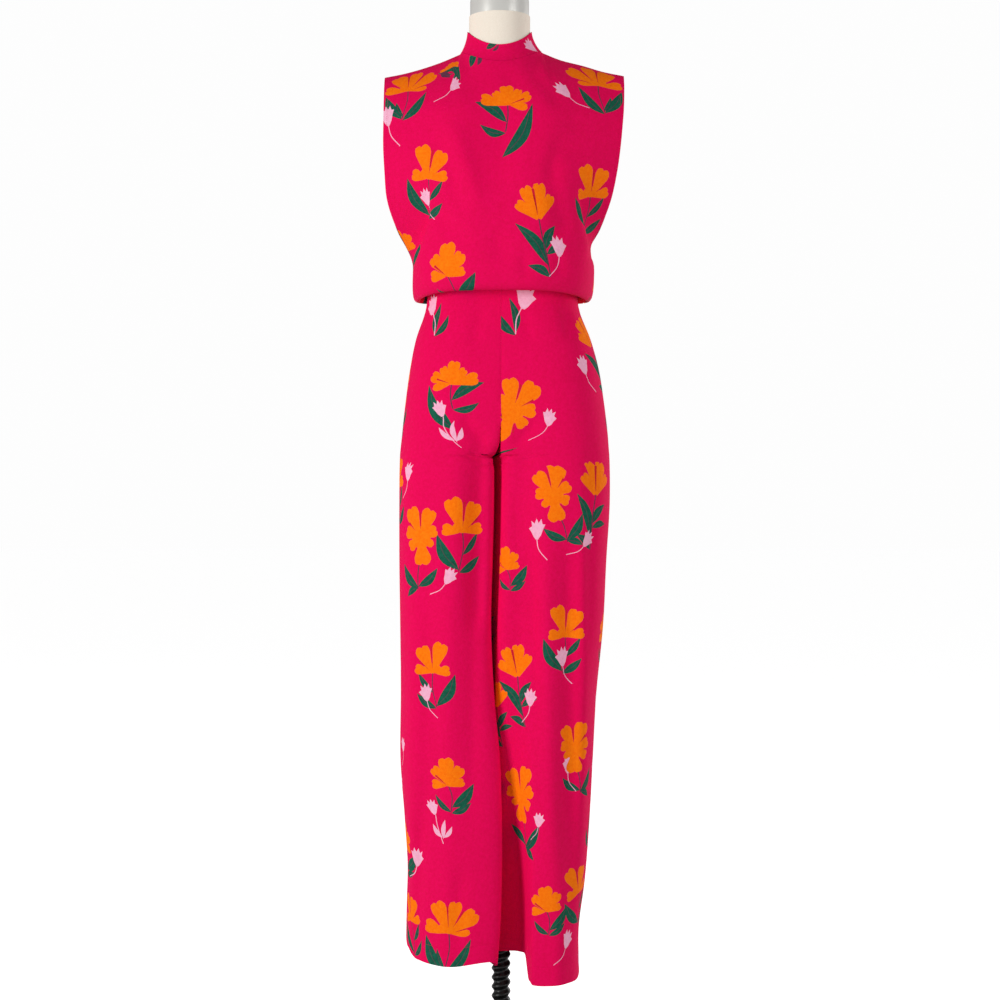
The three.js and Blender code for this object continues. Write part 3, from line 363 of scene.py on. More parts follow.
def neckline(turn, side, centre):
    x, y, z = shoulder_point(side, 0)
    angle = turn * math.pi / 2
    return np.array((
        mix(centre[0], x, math.sin(angle)),
        y + (centre[1] - y) * math.cos(angle),
        mix(centre[2], z, smooth(turn)),
    ))


def top_edge(share, side, in_front):
    if share <= NECK_SHARE:
        return neckline(share / NECK_SHARE, side, NECK_FRONT if in_front > 0 else NECK_BACK)
    run = (share - NECK_SHARE) / (1 - NECK_SHARE)
    return shoulder_point(side, run * (len(SHOULDER) - 1))


def unit(v):
    return v / max(np.linalg.norm(v), 1e-9)


def yoke(top, below, side, in_front, steps):
    rows = []
    for k in range(1, steps + 1):
        row = []
        for j, start in enumerate(top):
            share = j / (len(top) - 1)
            end = top_edge(share, side, in_front)
            rise = end[2] - start[2]
            leave = unit(start - below[j]) * rise * YOKE["leave"]
            over = smooth((share - NECK_SHARE * YOKE["from"]) / (NECK_SHARE * YOKE["over"]))
            out, up = (mix(a, b, over) for a, b in zip(YOKE["neck"], YOKE["shoulder"]))
            arrive = unit(np.array((0, in_front * out, up))) * rise * YOKE["arrive"]
            point = hermite(start, end, leave, arrive, k / steps)
            if share >= NECK_SHARE:
                point[1] -= in_front * SEAM / 2 * (k / steps)
            row.append(point)
        rows.append(np.array(row))
    return rows


def level_positions(step):
    last = len(LEVELS) - 1
    positions = []
    for i in range(last):
        n = max(2, math.ceil(abs(LEVELS[i + 1][0] - LEVELS[i][0]) / step)) if i >= ROLL_LEVELS else ROLL_ROWS
        positions += [i + k / n for k in range(n)]
    return positions + [last]


def bodice_front_grid(count, steps, step):
    positions = level_positions(step)
    halves = []
    for side in (-1, 1):
        rows = [front_half(p, side, count) for p in positions]
        before = front_half(positions[-1] - 1, side, count)
        halves.append(rows + yoke(rows[-1], before, side, 1, steps))
    return np.array([np.concatenate((r[1:][::-1], l)) for r, l in zip(*halves)])


def bodice_back_grid(side, count, steps, step):
    positions = level_positions(step)
    rows = [back_half(p, side, count) for p in positions]
    upper = yoke(rows[-1], back_half(positions[-1] - 1, side, count), side, -1, steps)
    least = BACK_OPENING / 2
    for row in upper:
        for j in range(len(row)):
            if side * row[j][0] < least or j == 0:
                row[j][0] = side * least
    return np.array(rows + upper)


def collar_grid(count, steps):
    rows = []
    for k in range(steps + 1):
        row = []
        for j in range(count):
            turn = mix(-2, 2, j / (count - 1))
            side = -1 if turn < 0 else 1
            away = abs(turn)
            low = neckline(away, side, NECK_FRONT) if away <= 1 else neckline(2 - away, side, NECK_BACK)
            angle = turn * math.pi / 2
            facing = math.cos(angle)
            depth = -COLLAR_TOP["front"] if facing > 0 else COLLAR_TOP["back"]
            if facing > 0:
                z = mix(COLLAR_TOP_Z["side"], COLLAR_TOP_Z["front"], facing ** COLLAR["dip"])
            else:
                z = mix(COLLAR_TOP_Z["side"], COLLAR_TOP_Z["back"], -facing)
            high = np.array((COLLAR_TOP["x"] + COLLAR_TOP["halfX"] * math.sin(angle), -depth * facing, z))
            rise = high[2] - low[2]
            lean = (high - low) * (1, 1, 0)
            start = low + lean * COLLAR["startIn"] + (0, 0, COLLAR["startUp"])
            leave = lean * COLLAR["leaveIn"] + (0, 0, rise * COLLAR["leaveUp"])
            arrive = lean * COLLAR["arriveIn"] + (0, 0, rise)
            point = hermite(start, high, leave, arrive, k / steps)
            if j == 0:
                point[0] = min(point[0], -BACK_OPENING / 2)
            if j == count - 1:
                point[0] = max(point[0], BACK_OPENING / 2)
            row.append(point)
        rows.append(row)
    return np.array(rows)


# Trousers

QUARTER_POINTS = 25
WALL_POINTS = 16
WALL_SHARE = 0.5
# A fold's run past its foot, how fast it fades in and out along it, and how late it fades out
FOLD = {"end": 1.2, "in": 3, "out": 6, "late": 0.4}
# Gap at the legs' seams: how fast it opens from the centre, and the legs' distance in seam gaps
GAP = {"opens": 8, "legs": 0.75}


def quarter(start, end, round_, starts_along_y):
    """A rounded quarter of a leg's outline, from one of its outermost points to the next."""
    angle = np.linspace(0, math.pi / 2, QUARTER_POINTS)
    near = np.abs(np.cos(angle)) ** (2 / round_)
    far = np.abs(np.sin(angle)) ** (2 / round_)
    near[-1] = 0
    if starts_along_y:
        return np.column_stack((end[0] + (start[0] - end[0]) * near, start[1] + (end[1] - start[1]) * far))
    return np.column_stack((start[0] + (end[0] - start[0]) * far, end[1] + (start[1] - end[1]) * near))


def inner_wall(seam, turn):
    straight = math.copysign(min(INNER_WALL_Y, abs(turn[1]) * WALL_SHARE), turn[1])
    line = []
    for s in range(WALL_POINTS):
        y = mix(seam[1], turn[1], s / WALL_POINTS)
        out = (y - straight) / (turn[1] - straight) if abs(y) > abs(straight) else 0
        line.append((mix(seam[0], turn[0], smooth(out)), y))
    return np.array(line)


def fold_depth(folds, x, z):
    depth = 0
    for top_x, top_z, bottom_x, bottom_z, deep, width in folds:
        run = (top_z - z) / (top_z - bottom_z)
        if 0 < run < FOLD["end"]:
            fade = smooth(run * FOLD["in"]) * smooth((1 - run) * FOLD["out"] + FOLD["late"])
            away = (x - mix(top_x, bottom_x, run)) / width
            depth += deep * fade * math.exp(-away * away)
    return depth


def leg_line(leg, position, in_front):
    row = row_by_height(leg["rows"], LEG_COLUMNS, position)
    seam = (row["seamX"], row["seamY"] if in_front else row["riseY"])
    turn = (row["cornerX"], row["cornerY"]) if in_front else (row["turnX"], row["turnY"])
    far = (row["frontX"], row["frontY"]) if in_front else (row["backX"], row["backY"])
    side = (row["sideX"], row["sideY"])
    has_wall = abs(seam[1] - turn[1]) > 1
    parts = [inner_wall(seam, turn)] if has_wall else []
    parts.append(quarter(turn if has_wall else seam, far, ROUND["corner" if in_front else "turn"], True))
    parts.append(quarter(far, side, ROUND["front" if in_front else "back"], False)[1:])
    line = np.concatenate(parts)
    folds = leg["folds"] if in_front else BACK_FOLDS
    z = row["z"]
    recess = row_at(RECESS, RECESS_COLUMNS, row_number(RECESS, z)) if z < RECESS[0][0] else None
    for p in line:
        if in_front and leg["recess"] and recess:
            share = recess["share"] * smooth((recess["lipX"] - p[0]) / recess["blend"])
            p[1] = mix(p[1], max(recess["floorY"], p[1]), share)
        keep = smooth((row["sideX"] - p[0]) / FOLD_EASE["side"])
        keep *= smooth((p[0] - turn[0]) / FOLD_EASE["turn"])
        keep *= smooth((abs(p[1]) - FOLD_EASE["wallY"]) / FOLD_EASE["wallBlend"])
        p[1] += (1 if in_front else -1) * fold_depth(folds, p[0], z) * keep
    return line, z


def leg_grid(leg, in_front, count, step):
    hem = HEMS[leg["name"] + ("Front" if in_front else "Back")]
    table = leg["rows"]
    positions = []
    for i in range(len(table) - 1):
        slide = abs(table[i + 1][2] - table[i][2])
        n = max(1, math.ceil((table[i][0] - table[i + 1][0]) / step), math.ceil(slide / SEAM_SLIDE))
        positions += [i + k / n for k in range(n)]
    positions.append(len(table) - 1)
    rows = []
    for position in positions:
        line, z = leg_line(leg, position, in_front)
        down = max(0.0, (HEM_START - z) / (HEM_START - HEM_LEVEL))
        row = []
        for j, p in enumerate(spaced(line, count)):
            share = j / (count - 1)
            apart = -SEAM / 2 if in_front else SEAM / 2
            near = 1 if position >= FORK else smooth(share * GAP["opens"])
            row.append((leg["side"] * (p[0] + SEAM * GAP["legs"]), p[1] + apart * near,
                        z + (along(hem, share) - HEM_LEVEL) * down))
        rows.append(row)
    return np.array(rows)


RIGHT = {"name": "right", "side": -1, "rows": RIGHT_LEG, "folds": RIGHT_LEG_FOLDS, "recess": False}
LEFT = {"name": "left", "side": 1, "rows": LEFT_LEG, "folds": LEFT_LEG_FOLDS, "recess": True}

# Fine panels


def oriented(grid, inner):
    """The grid with rows going up and columns going to the right, seen from outside."""
    if grid[0, :, 2].mean() > grid[-1, :, 2].mean():
        grid = grid[::-1]
    if facing(grid, inner) < 0:
        grid = grid[:, ::-1]
    return np.ascontiguousarray(grid)


def grid_normals(grid):
    across = np.gradient(grid, axis=1)
    up = np.gradient(grid, axis=0)
    n = np.cross(across, up)
    return n / np.maximum(np.linalg.norm(n, axis=2, keepdims=True), 1e-9)


def facing(grid, inner):
    n = grid_normals(grid)
    return float((n[:, :, 0] * (grid[:, :, 0] - inner[0]) + n[:, :, 1] * (grid[:, :, 1] - inner[1])).sum())


# Creases: how strong, and the shares of a crease's run and of a panel's width over which they fade
CREASE = 2.0
END_FADE = 0.3
RIM_FADE = 0.08


def creased(grid, creases):
    """Soft troughs, depth above 0, and ridges, depth below 0, along lines in x and z."""
    x, z = grid[:, :, 0], grid[:, :, 2]
    push = np.zeros(x.shape)
    for x0, z0, x1, z1, depth, width in creases:
        dx, dz = x1 - x0, z1 - z0
        run = np.clip(((x - x0) * dx + (z - z0) * dz) / (dx * dx + dz * dz), 0, 1)
        away = np.hypot(x - x0 - run * dx, z - z0 - run * dz)
        ends = np.clip(np.minimum(run, 1 - run) / END_FADE, 0, 1)
        push += CREASE * depth * np.exp(-((away / width) ** 2)) * eased(ends)
    columns = grid.shape[1]
    rim = np.minimum(np.arange(columns), np.arange(columns)[::-1]) / (columns - 1)
    return grid - grid_normals(grid) * (push * eased(np.clip(rim / RIM_FADE, 0, 1)))[:, :, None]


def sample(table, rows, columns):
    """Values of a grid's table between its rows and columns."""
    i = np.clip(np.floor(rows).astype(int), 0, table.shape[0] - 2)
    j = np.clip(np.floor(columns).astype(int), 0, table.shape[1] - 2)
    a, b = (rows - i)[:, None], (columns - j)[:, None]
    return (
        table[i, j] * (1 - a) * (1 - b) + table[i, j + 1] * (1 - a) * b
        + table[i + 1, j] * a * (1 - b) + table[i + 1, j + 1] * a * b
    )


# Least share of a row's mean step that a motif is fitted to
LEAST_STEP = 0.3


class Panel:
    """A panel of cloth: its fine grid and the way from its flat cut to the grid."""

    def __init__(self, name, grid, inner, creases=()):
        self.name = name
        self.grid = creased(oriented(grid, inner), creases)
        self.normals = grid_normals(self.grid)
        across = np.gradient(self.grid, axis=1)
        across /= np.maximum(np.linalg.norm(across, axis=2, keepdims=True), 1e-9)
        step = np.diff(self.grid, axis=0)
        slide = (step * across[:-1]).sum(axis=2)
        self.drift = np.vstack((np.zeros(self.grid.shape[1]), np.cumsum(slide, axis=0)))
        step = np.linalg.norm(step - across[:-1] * slide[:, :, None], axis=2)
        self.t = np.concatenate(([0], np.cumsum(step.mean(axis=1))))
        self.local = step / np.maximum(step.mean(axis=1, keepdims=True), 1e-9)
        self.row_length = np.linalg.norm(np.diff(self.grid, axis=1), axis=2).sum(axis=1)
        self.width = float(self.row_length.max())
        self.length = float(self.t[-1])
        self.motifs = []
        self.places = []

    def at(self, s, t):
        """Grid position (row, column) as fractions of flat coordinates."""
        rows = np.interp(t, self.t, np.arange(len(self.t)))
        return rows, np.asarray(s) / self.width * (self.grid.shape[1] - 1)

    def nearest(self, px, py):
        """Flat place of the grid point that the camera sees nearest a place in the picture."""
        p = self.grid
        near = CAMERA_Y / (CAMERA_Y + p[:, :, 1])
        sx = MIDDLE_X + p[:, :, 0] / PIXEL * near
        sy = MIDDLE_Y - (p[:, :, 2] - CAMERA_Z) / PIXEL * near
        away = np.hypot(sx - px, sy - py) + np.where(self.normals[:, :, 1] < TO_FRONT, 0, 1e4)
        i, j = np.unravel_index(np.argmin(away), away.shape)
        return float(away[i, j]), j / (p.shape[1] - 1) * self.width, float(self.t[i])

    def place(self, parts, s0, t0, turn, size, mirror=1):
        """Lays a motif's parts on the flat cut at s0, t0."""
        rows, columns = self.at(s0, t0)
        across = self.width / max(float(np.interp(t0, self.t, self.row_length)), 1e-6)
        i = int(min(max(round(float(rows)), 0), len(self.t) - 2))
        j = int(min(max(round(float(columns)), 0), self.grid.shape[1] - 1))
        upward = 1 / max(float(self.local[i, j]), LEAST_STEP)
        c, s = math.cos(math.radians(turn)), math.sin(math.radians(turn))
        for colour, outline in parts:
            o = np.asarray(outline) * size
            o[:, 0] *= mirror
            x, y = o[:, 0] * c - o[:, 1] * s, o[:, 0] * s + o[:, 1] * c
            laid = np.column_stack((s0 + x * across, t0 + y * upward))
            ahead = np.roll(laid, -1, axis=0)
            if (laid[:, 0] * ahead[:, 1] - laid[:, 1] * ahead[:, 0]).sum() < 0:
                laid = laid[::-1]
            clipped = clip(laid, self.width, self.length)
            if len(clipped) > 2:
                self.motifs.append((colour, clipped))
        self.places.append((s0, t0))


# The photo's view: its camera's place before the form, millimetres to a pixel at the form, the
# picture's middle in pixels, and the facing below which cloth shows to the camera
CAMERA_X = -1.5
CAMERA_Y = 3000.0
CAMERA_Z = 830.0
PIXEL = 1.52
MIDDLE_X, MIDDLE_Y = 501, 500
TO_FRONT = -0.08


def clip(outline, width, length):
    """The part of an outline inside the rectangle from 0, 0 to width, length."""
    for axis, limit, keep in ((0, 0.0, 1), (0, width, -1), (1, 0.0, 1), (1, length, -1)):
        if len(outline) < 3:
            return []
        inside = (outline[:, axis] - limit) * keep >= 0
        if inside.all():
            continue
        result = []
        for k in range(len(outline)):
            a, b = outline[k - 1], outline[k]
            if inside[k - 1] != inside[k]:
                run = (limit - a[axis]) / (b[axis] - a[axis])
                cut = a + (b - a) * run
                cut[axis] = limit
                result.append(cut)
            if inside[k]:
                result.append(b)
        outline = np.array(result)
    return outline


# Print: orange flowers, green and mauve leaves and pink buds, tossed on fuchsia

# Colours, each lying over those before it
GROUND, GREEN, MAUVE, PINK, ORANGE, SLIT = range(6)


def polar(radius, degrees):
    return np.array((radius * math.cos(math.radians(degrees)), radius * math.sin(math.radians(degrees))))


# Edge of a petal across its width: place from -1 to 1, share of the reach
BROAD = (
    (-1, 0.76), (-0.86, 0.88), (-0.6, 0.96), (-0.34, 1.0), (-0.08, 0.965), (0.06, 0.925), (0.26, 0.98),
    (0.52, 0.965), (0.7, 0.955), (0.86, 0.88), (1, 0.76),
)
NARROW = (
    (-1, 0.60), (-0.8, 0.80), (-0.5, 0.93), (-0.15, 1.0), (0.15, 0.955), (0.4, 0.95), (0.7, 0.84),
    (0.88, 0.72), (1, 0.60),
)
# A flower head's foot: its radius and how far it turns past the outer lobes, in degrees
HEAD = {"foot": 2.5, "past": 25}
# A petal's foot in degrees, and its narrow part as a share of its reach and of its half width
PETAL = {"foot": 12, "low": 0.4, "narrow": 0.98}
SLIT_ENDS = 0.4, 1.5
LEAF_POINTS = 10
LEAF_FULLEST = 0.9
VEIN = {"share": 0.94, "width": 0.7}
BROAD_LEAF = 9


def edge(start, end, reach, profile):
    return [polar(reach * share, mix(start, end, (t + 1) / 2)) for t, share in profile]


def bloom(lobes, heart=(0, 0)):
    """Flower head in one piece. Each lobe has its two directions and its reach."""
    outline = [polar(HEAD["foot"], lobes[0][0] - HEAD["past"])]
    for start, end, reach in lobes:
        outline += edge(start, end, reach, BROAD)
    outline.append(polar(HEAD["foot"], lobes[-1][1] + HEAD["past"]))
    return [np.array(heart) + q for q in outline]


def petal(start, end, reach, base, profile=NARROW):
    """Single petal, narrow at the flower's heart."""
    middle, half = (start + end) / 2, (end - start) / 2 * PETAL["narrow"]
    low = reach * PETAL["low"]
    return (
        [polar(base, middle - PETAL["foot"]), polar(low, middle - half)]
        + edge(start, end, reach, profile)
        + [polar(low, middle + half), polar(base, middle + PETAL["foot"])]
    )


def slit(degrees, start, end, width):
    """Thin gap between two lobes, widest at its outer end."""
    a, b = polar(start, degrees), polar(end, degrees)
    side = polar(width / 2, degrees + 90)
    inner, outer = SLIT_ENDS
    return [a, b - side * outer, b + side * outer, a + side * inner]


def leaf(base, tip, width, bow):
    """Pointed leaf from its foot to its tip, with a bowed middle."""
    base, tip = np.array(base, float), np.array(tip, float)
    length = np.linalg.norm(tip - base)
    ahead = (tip - base) / length
    across = np.array((-ahead[1], ahead[0]))
    sides = []
    for side in (1, -1):
        for k in range(LEAF_POINTS):
            last = LEAF_POINTS - 1
            t = k / last if side > 0 else 1 - k / last
            wide = width / 2 * math.sin(math.pi * t**LEAF_FULLEST)
            out = bow * length * math.sin(math.pi * t) + side * wide
            sides.append(base + ahead * length * t + across * out)
    return sides[:-1]


def vein(base, tip, bow):
    base, tip = np.array(base, float), np.array(tip, float)
    middle = (base + tip) / 2 + np.array((-(tip - base)[1], (tip - base)[0])) * bow
    return stem((base, middle, base + (tip - base) * VEIN["share"]), VEIN["width"])


def stem(points, width):
    line = spaced(curve_through(points, 8), 12)
    way = np.gradient(line, axis=0)
    way /= np.linalg.norm(way, axis=1, keepdims=True)
    side = np.column_stack((-way[:, 1], way[:, 0])) * width / 2
    return list(line + side) + list((line - side)[::-1])


def greenery(*leaves):
    """Leaves as foot, tip, width, bow; the broad ones green with a vein, the narrow ones mauve."""
    parts = []
    for foot, tip, width, bow in leaves:
        broad = width > BROAD_LEAF
        parts.append((GREEN if broad else MAUVE, leaf(foot, tip, width, bow)))
        if broad:
            parts.append((MAUVE, vein(foot, tip, bow)))
    return parts


BUD = (
    (-0.08, 0.0), (-0.28, 0.2), (-0.42, 0.48), (-0.56, 0.7), (-0.38, 0.72), (-0.32, 0.98), (-0.14, 0.78),
    (0.0, 1.0), (0.14, 0.76), (0.36, 0.9), (0.32, 0.64), (0.54, 0.54), (0.36, 0.34), (0.22, 0.12),
    (0.08, 0.0),
)


def bud(x, y, degrees, length, width):
    """Ragged pink bud."""
    up, right = polar(1, degrees), polar(1, degrees - 90)
    return [np.array((x, y)) + right * a * width + up * b * length for a, b in BUD]


def flower(heads, petals, middle, slits, stalk, leaves):
    """Orange flower: heads as lobes and heart, petals, more outlines, slits, its stalk and leaves."""
    parts = [bloom(*head) for head in heads] + [petal(*p) for p in petals] + middle
    return (
        [(ORANGE, part) for part in parts] + [(SLIT, slit(*gap)) for gap in slits]
        + [(MAUVE, stem(*stalk))] + greenery(*leaves)
    )


KINDS = {
    "side": flower(
        ((((2, 38, 36), (38, 70, 31), (70, 112, 35), (112, 146, 30), (146, 182, 41)),),),
        ((-30, 4, 30, 4),), [], ((16, 5, 25, 1.8),), (((0, 0), (0, -16), (-4, -36)), 1.8),
        (((-2, -24), (-48, 4), 16, -0.1), ((-4, -38), (-42, -26), 10.5, 0.12),
         ((-10, -68), (36, -2), 19, -0.12)),
    ),
    "cup": flower(
        ((((-6, 32, 29), (32, 70, 41), (70, 112, 50), (112, 146, 42)),),),
        ((150, 192, 31, 4, BROAD),), [], ((140, 5, 29, 2.4),), (((0, 0), (4, -16), (0, -42)), 1.8),
        (((2, -36), (44, 2), 19, -0.1), ((0, -46), (36, -30), 12, -0.08), ((0, -44), (-26, -14), 10, 0.1)),
    ),
    "fan": flower(
        ((((94, 130, 58),), (-1.2, 0)), (((50, 90, 52),), (1.2, 0))),
        ((150, 194, 33, 5, BROAD), (-2, 38, 35, 4, BROAD)), [bloom(((20, 80, 20), (80, 160, 20)))],
        ((92, 10, 48, 2.4), (44, 12, 34, 1.4)), (((0, 2), (4, -24), (0, -60)), 1.7),
        (((0, -58), (-40, -4), 20, 0.1), ((4, -34), (27, 2), 11, -0.08), ((1, -62), (34, -34), 14, -0.1)),
    ),
    "open": flower(
        ((((94, 134, 46),), (-1, 0)), (((48, 90, 50),), (1, 0))),
        ((-2, 44, 33, 3, BROAD), (136, 184, 30, 3, BROAD), (-56, -8, 28, 2, BROAD), (-118, -66, 43, 0, BROAD),
         (190, 236, 25, 0)),
        [[polar(17, k * 30) for k in range(12)]],
        ((92, 12, 38, 2.2), (48, 14, 32, 1.8), (-62, 14, 30, 1.2)), (((2, -30), (8, -52), (10, -78)), 1.7),
        (((9, -74), (-26, -48), 14, 0.1), ((9, -76), (42, -38), 16, -0.1), ((10, -76), (34, -88), 11, 0.1)),
    ),
    "tulip": flower(
        ((((44, 72, 44), (72, 100, 56)), (1, 0)), (((96, 124, 54), (124, 154, 42)), (-1, 0))),
        (), [], ((97.5, 7, 47, 2.8),), (((0, 1), (2, -34), (10, -84)), 1.8),
        (((6, -66), (-36, -4), 18, -0.08), ((9, -84), (-22, -66), 13, -0.1),
         ((3, -44), (26, -8), 14, 0.1), ((5, -50), (36, -38), 11.5, 0.1)),
    ),
    "spread": flower(
        ((((100, 138, 52),), (-1, 0)), (((66, 98, 50),), (0.4, 0))),
        ((18, 58, 52, 4, BROAD), (150, 190, 42, 4, BROAD), (-12, 18, 34, 4)),
        [bloom(((10, 80, 20), (80, 165, 20)))],
        ((99, 10, 42, 2.2), (60, 12, 40, 2.0), (16, 10, 28, 1.4)), (((0, 2), (4, -24), (0, -60)), 1.7),
        (((0, -62), (-38, -10), 19, 0.1), ((2, -58), (-16, -26), 10, 0.1), ((1, -64), (36, -8), 17, -0.1)),
    ),
    # Pink bud and petals that stand before a flower's leaves
    "pinks": [
        (PINK, bud(-12, -8, 110, 26, 20)), (PINK, leaf((2, -44), (-16, -24), 8, 0.1)),
        (PINK, leaf((4, -46), (6, -14), 8, 0.05)), (PINK, leaf((5, -44), (18, -24), 7, -0.1)),
        (PINK, stem(((-11, -8), (-8, -24), (4, -54)), 1.3)),
    ],
    "bud": [(PINK, bud(0, -10, 96, 31, 23)), (PINK, stem(((0, -9), (-1, -24), (-12, -42)), 1.3))],
    "sprig": [(PINK, bud(2, -8, 80, 36, 28)), (PINK, stem(((0, -7), (-6, -24), (-6, -46)), 1.5))]
    + greenery(((-6, -48), (-30, -18), 12, 0.1), ((-6, -44), (-18, 6), 11, -0.1)),
    "leaf": greenery(((-16, -10), (14, 8), 14, 0.1), ((2, -12), (20, 8), 8, -0.1)),
}

# Places in the front view, in its picture's coordinates: kind, x, y, turn, size, mirror
FRONT_MOTIFS = (
    ("side", 508, 104, 2, 1, 1), ("cup", 447, 277, 4, 0.98, 1), ("side", 452, 383, -2, 1, -1),
    ("cup", 447, 785, 2, 0.86, 1), ("fan", 429, 178, -12, 0.92, 1), ("fan", 590, 199, 2, 0.9, 1),
    ("fan", 463, 534, -4, 0.95, 1), ("fan", 433, 673, 4, 0.84, -1), ("fan", 566, 637, -4, 0.86, 1),
    ("spread", 449, 933, -4, 0.98, 1), ("cup", 506, 569, 10, 0.7, 1), ("open", 574, 748, 4, 0.84, 1),
    ("fan", 578, 893, 14, 0.8, 1), ("spread", 408, 91, -6, 0.9, 1), ("spread", 597, 87, 8, 0.9, -1),
    ("open", 511, 410, -20, 1.08, 1), ("open", 420, 537, 4, 0.98, -1), ("open", 555, 495, 12, 0.92, 1),
    ("open", 521, 796, 2, 0.92, 1), ("cup", 548, 914, 10, 0.78, 1), ("fan", 398, 486, 6, 0.9, 1),
    ("tulip", 539, 219, 2, 0.98, 1), ("tulip", 518, 677, 4, 0.88, 1), ("tulip", 488, 632, 8, 0.84, 1),
    ("tulip", 595, 494, -12, 0.95, 1), ("tulip", 591, 349, 14, 0.88, 1), ("cup", 604, 291, -6, 0.8, 1),
    ("cup", 606, 640, 0, 0.8, 1), ("cup", 400, 848, 0, 0.8, 1), ("fan", 411, 922, 14, 0.6, 1),
    ("tulip", 497, 706, 0, 0.7, 1), ("leaf", 455, 72, -10, 1.3, -1), ("cup", 400, 256, 12, 0.8, 1),
    ("leaf", 492, 46, 0, 0.55, 1), ("leaf", 474, 60, 30, 0.9, 1), ("side", 452, 66, 20, 0.5, 1),
    ("bud", 565, 94, 40, 1, -1), ("bud", 387, 120, 16, 1, -1), ("bud", 455, 84, -34, 0.9, 1),
    ("bud", 426, 202, 14, 0.85, -1), ("bud", 561, 249, -6, 1, 1), ("sprig", 522, 303, -6, 1.05, 1),
    ("sprig", 434, 308, 14, 0.95, -1), ("pinks", 450, 412, 0, 1, 1), ("bud", 549, 420, -22, 0.85, 1),
    ("bud", 583, 366, 16, 0.95, -1), ("bud", 409, 474, -10, 0.9, 1), ("bud", 450, 580, -36, 0.85, 1),
    ("bud", 537, 533, 8, 1, -1), ("bud", 586, 540, -44, 0.85, 1), ("bud", 427, 696, 12, 0.85, -1),
    ("bud", 561, 658, 14, 0.95, -1), ("bud", 530, 702, -10, 0.85, 1), ("bud", 418, 860, -16, 0.9, 1),
    ("bud", 567, 943, -24, 0.9, 1), ("pinks", 441, 810, -4, 0.9, 1), ("bud", 567, 768, 6, 0.9, -1),
    ("bud", 538, 822, -10, 0.7, 1), ("bud", 404, 745, 0, 0.7, 1),
)

LEG_STEP = 7
BODICE_STEP = 6
FINE = {"front": 61, "back": 41, "yoke": 14, "collar": 81, "collarRows": 12, "legFront": 61, "legBack": 49}

# Soft troughs, depth above 0, and ridges, below 0: x and z of both ends, depth and width
BODICE_CREASES = (
    (-100, 1385, -52, 1225, 2.2, 16), (-78, 1400, -26, 1240, -1.6, 15), (-60, 1330, -96, 1215, 1.6, 14),
    (96, 1380, 58, 1262, 2, 17), (74, 1352, 92, 1210, 1.8, 14), (40, 1420, 20, 1268, -1.4, 18),
    (-52, 1466, -84, 1405, 1.2, 12), (54, 1468, 92, 1404, 1.3, 13), (0, 1478, 34, 1424, 1, 14),
    (-112, 1262, -40, 1196, 1.4, 13), (110, 1250, 52, 1190, 1.5, 12), (-10, 1228, 6, 1168, 1, 14),
    (-66, 1200, -60, 1150, 1.2, 9), (34, 1196, 38, 1150, 1.2, 10), (84, 1198, 88, 1152, 1, 8),
)
BACK_BODICE_CREASES = (
    (104, 1384, 60, 1238, 2, 17), (70, 1330, 92, 1206, 1.6, 14), (34, 1450, 58, 1382, 1.1, 14),
    (98, 1254, 40, 1192, 1.4, 13), (22, 1240, 26, 1158, 1.1, 13), (62, 1198, 58, 1150, 1.2, 9),
)
RIGHT_CREASES = (
    (-36, 900, -44, 300, 1.6, 12), (-64, 1010, -86, 320, -2, 17), (-106, 930, -116, 190, 1.6, 13),
    (-18, 905, -62, 958, 1.8, 10), (-14, 880, -50, 902, 1.2, 9), (-26, 1120, -44, 1052, 1, 10),
    (-84, 1122, -92, 1068, 1.2, 9), (-128, 700, -132, 220, -1.4, 12), (-60, 300, -66, 150, 1.4, 13),
)
LEFT_CREASES = (
    (24, 900, 26, 520, 2.2, 15), (62, 860, 74, 190, -3.2, 15), (44, 820, 52, 440, 1.8, 11),
    (100, 900, 100, 190, 2.6, 15), (122, 860, 116, 260, -1.6, 10), (14, 902, 58, 952, 1.6, 10),
    (20, 876, 56, 896, 1.2, 9), (30, 1120, 46, 1056, 1, 10), (92, 1124, 104, 1066, 1.2, 9),
    (136, 960, 128, 560, 1.4, 9),
)
BACK_LEG_CREASES = (
    (34, 880, 40, 260, 1.8, 14), (72, 960, 80, 180, -2.2, 16), (118, 900, 116, 220, 1.8, 13),
    (40, 1122, 52, 1060, 1.1, 10), (88, 1122, 98, 1064, 1.2, 9), (58, 300, 62, 160, 1.3, 12),
)


LEG_MIDDLE = 75


def on_side(creases, side):
    return [(side * x0, z0, side * x1, z1, depth, width) for x0, z0, x1, z1, depth, width in creases]


panels = [
    Panel(
        "bodice_front", bodice_front_grid(FINE["front"], FINE["yoke"], BODICE_STEP), (0, 0), BODICE_CREASES
    )
]
for side in (-1, 1):
    grid = bodice_back_grid(side, FINE["back"], FINE["yoke"], BODICE_STEP)
    panels.append(Panel("bodice_back_" + half_name(side), grid, (0, 0), on_side(BACK_BODICE_CREASES, side)))
panels.append(Panel("collar", collar_grid(FINE["collar"], FINE["collarRows"]), (0, 0)))
for leg, creases in ((RIGHT, RIGHT_CREASES), (LEFT, LEFT_CREASES)):
    inner = (leg["side"] * LEG_MIDDLE, 0)
    front = leg_grid(leg, True, FINE["legFront"], LEG_STEP)
    back = leg_grid(leg, False, FINE["legBack"], LEG_STEP)
    panels.append(Panel("trouser_front_" + leg["name"], front, inner, creases))
    panels.append(Panel("trouser_back_" + leg["name"], back, inner, on_side(BACK_LEG_CREASES, leg["side"])))

# A place in the picture counts for a panel when its cloth shows this near, in pixels
FOUND_WITHIN = 12

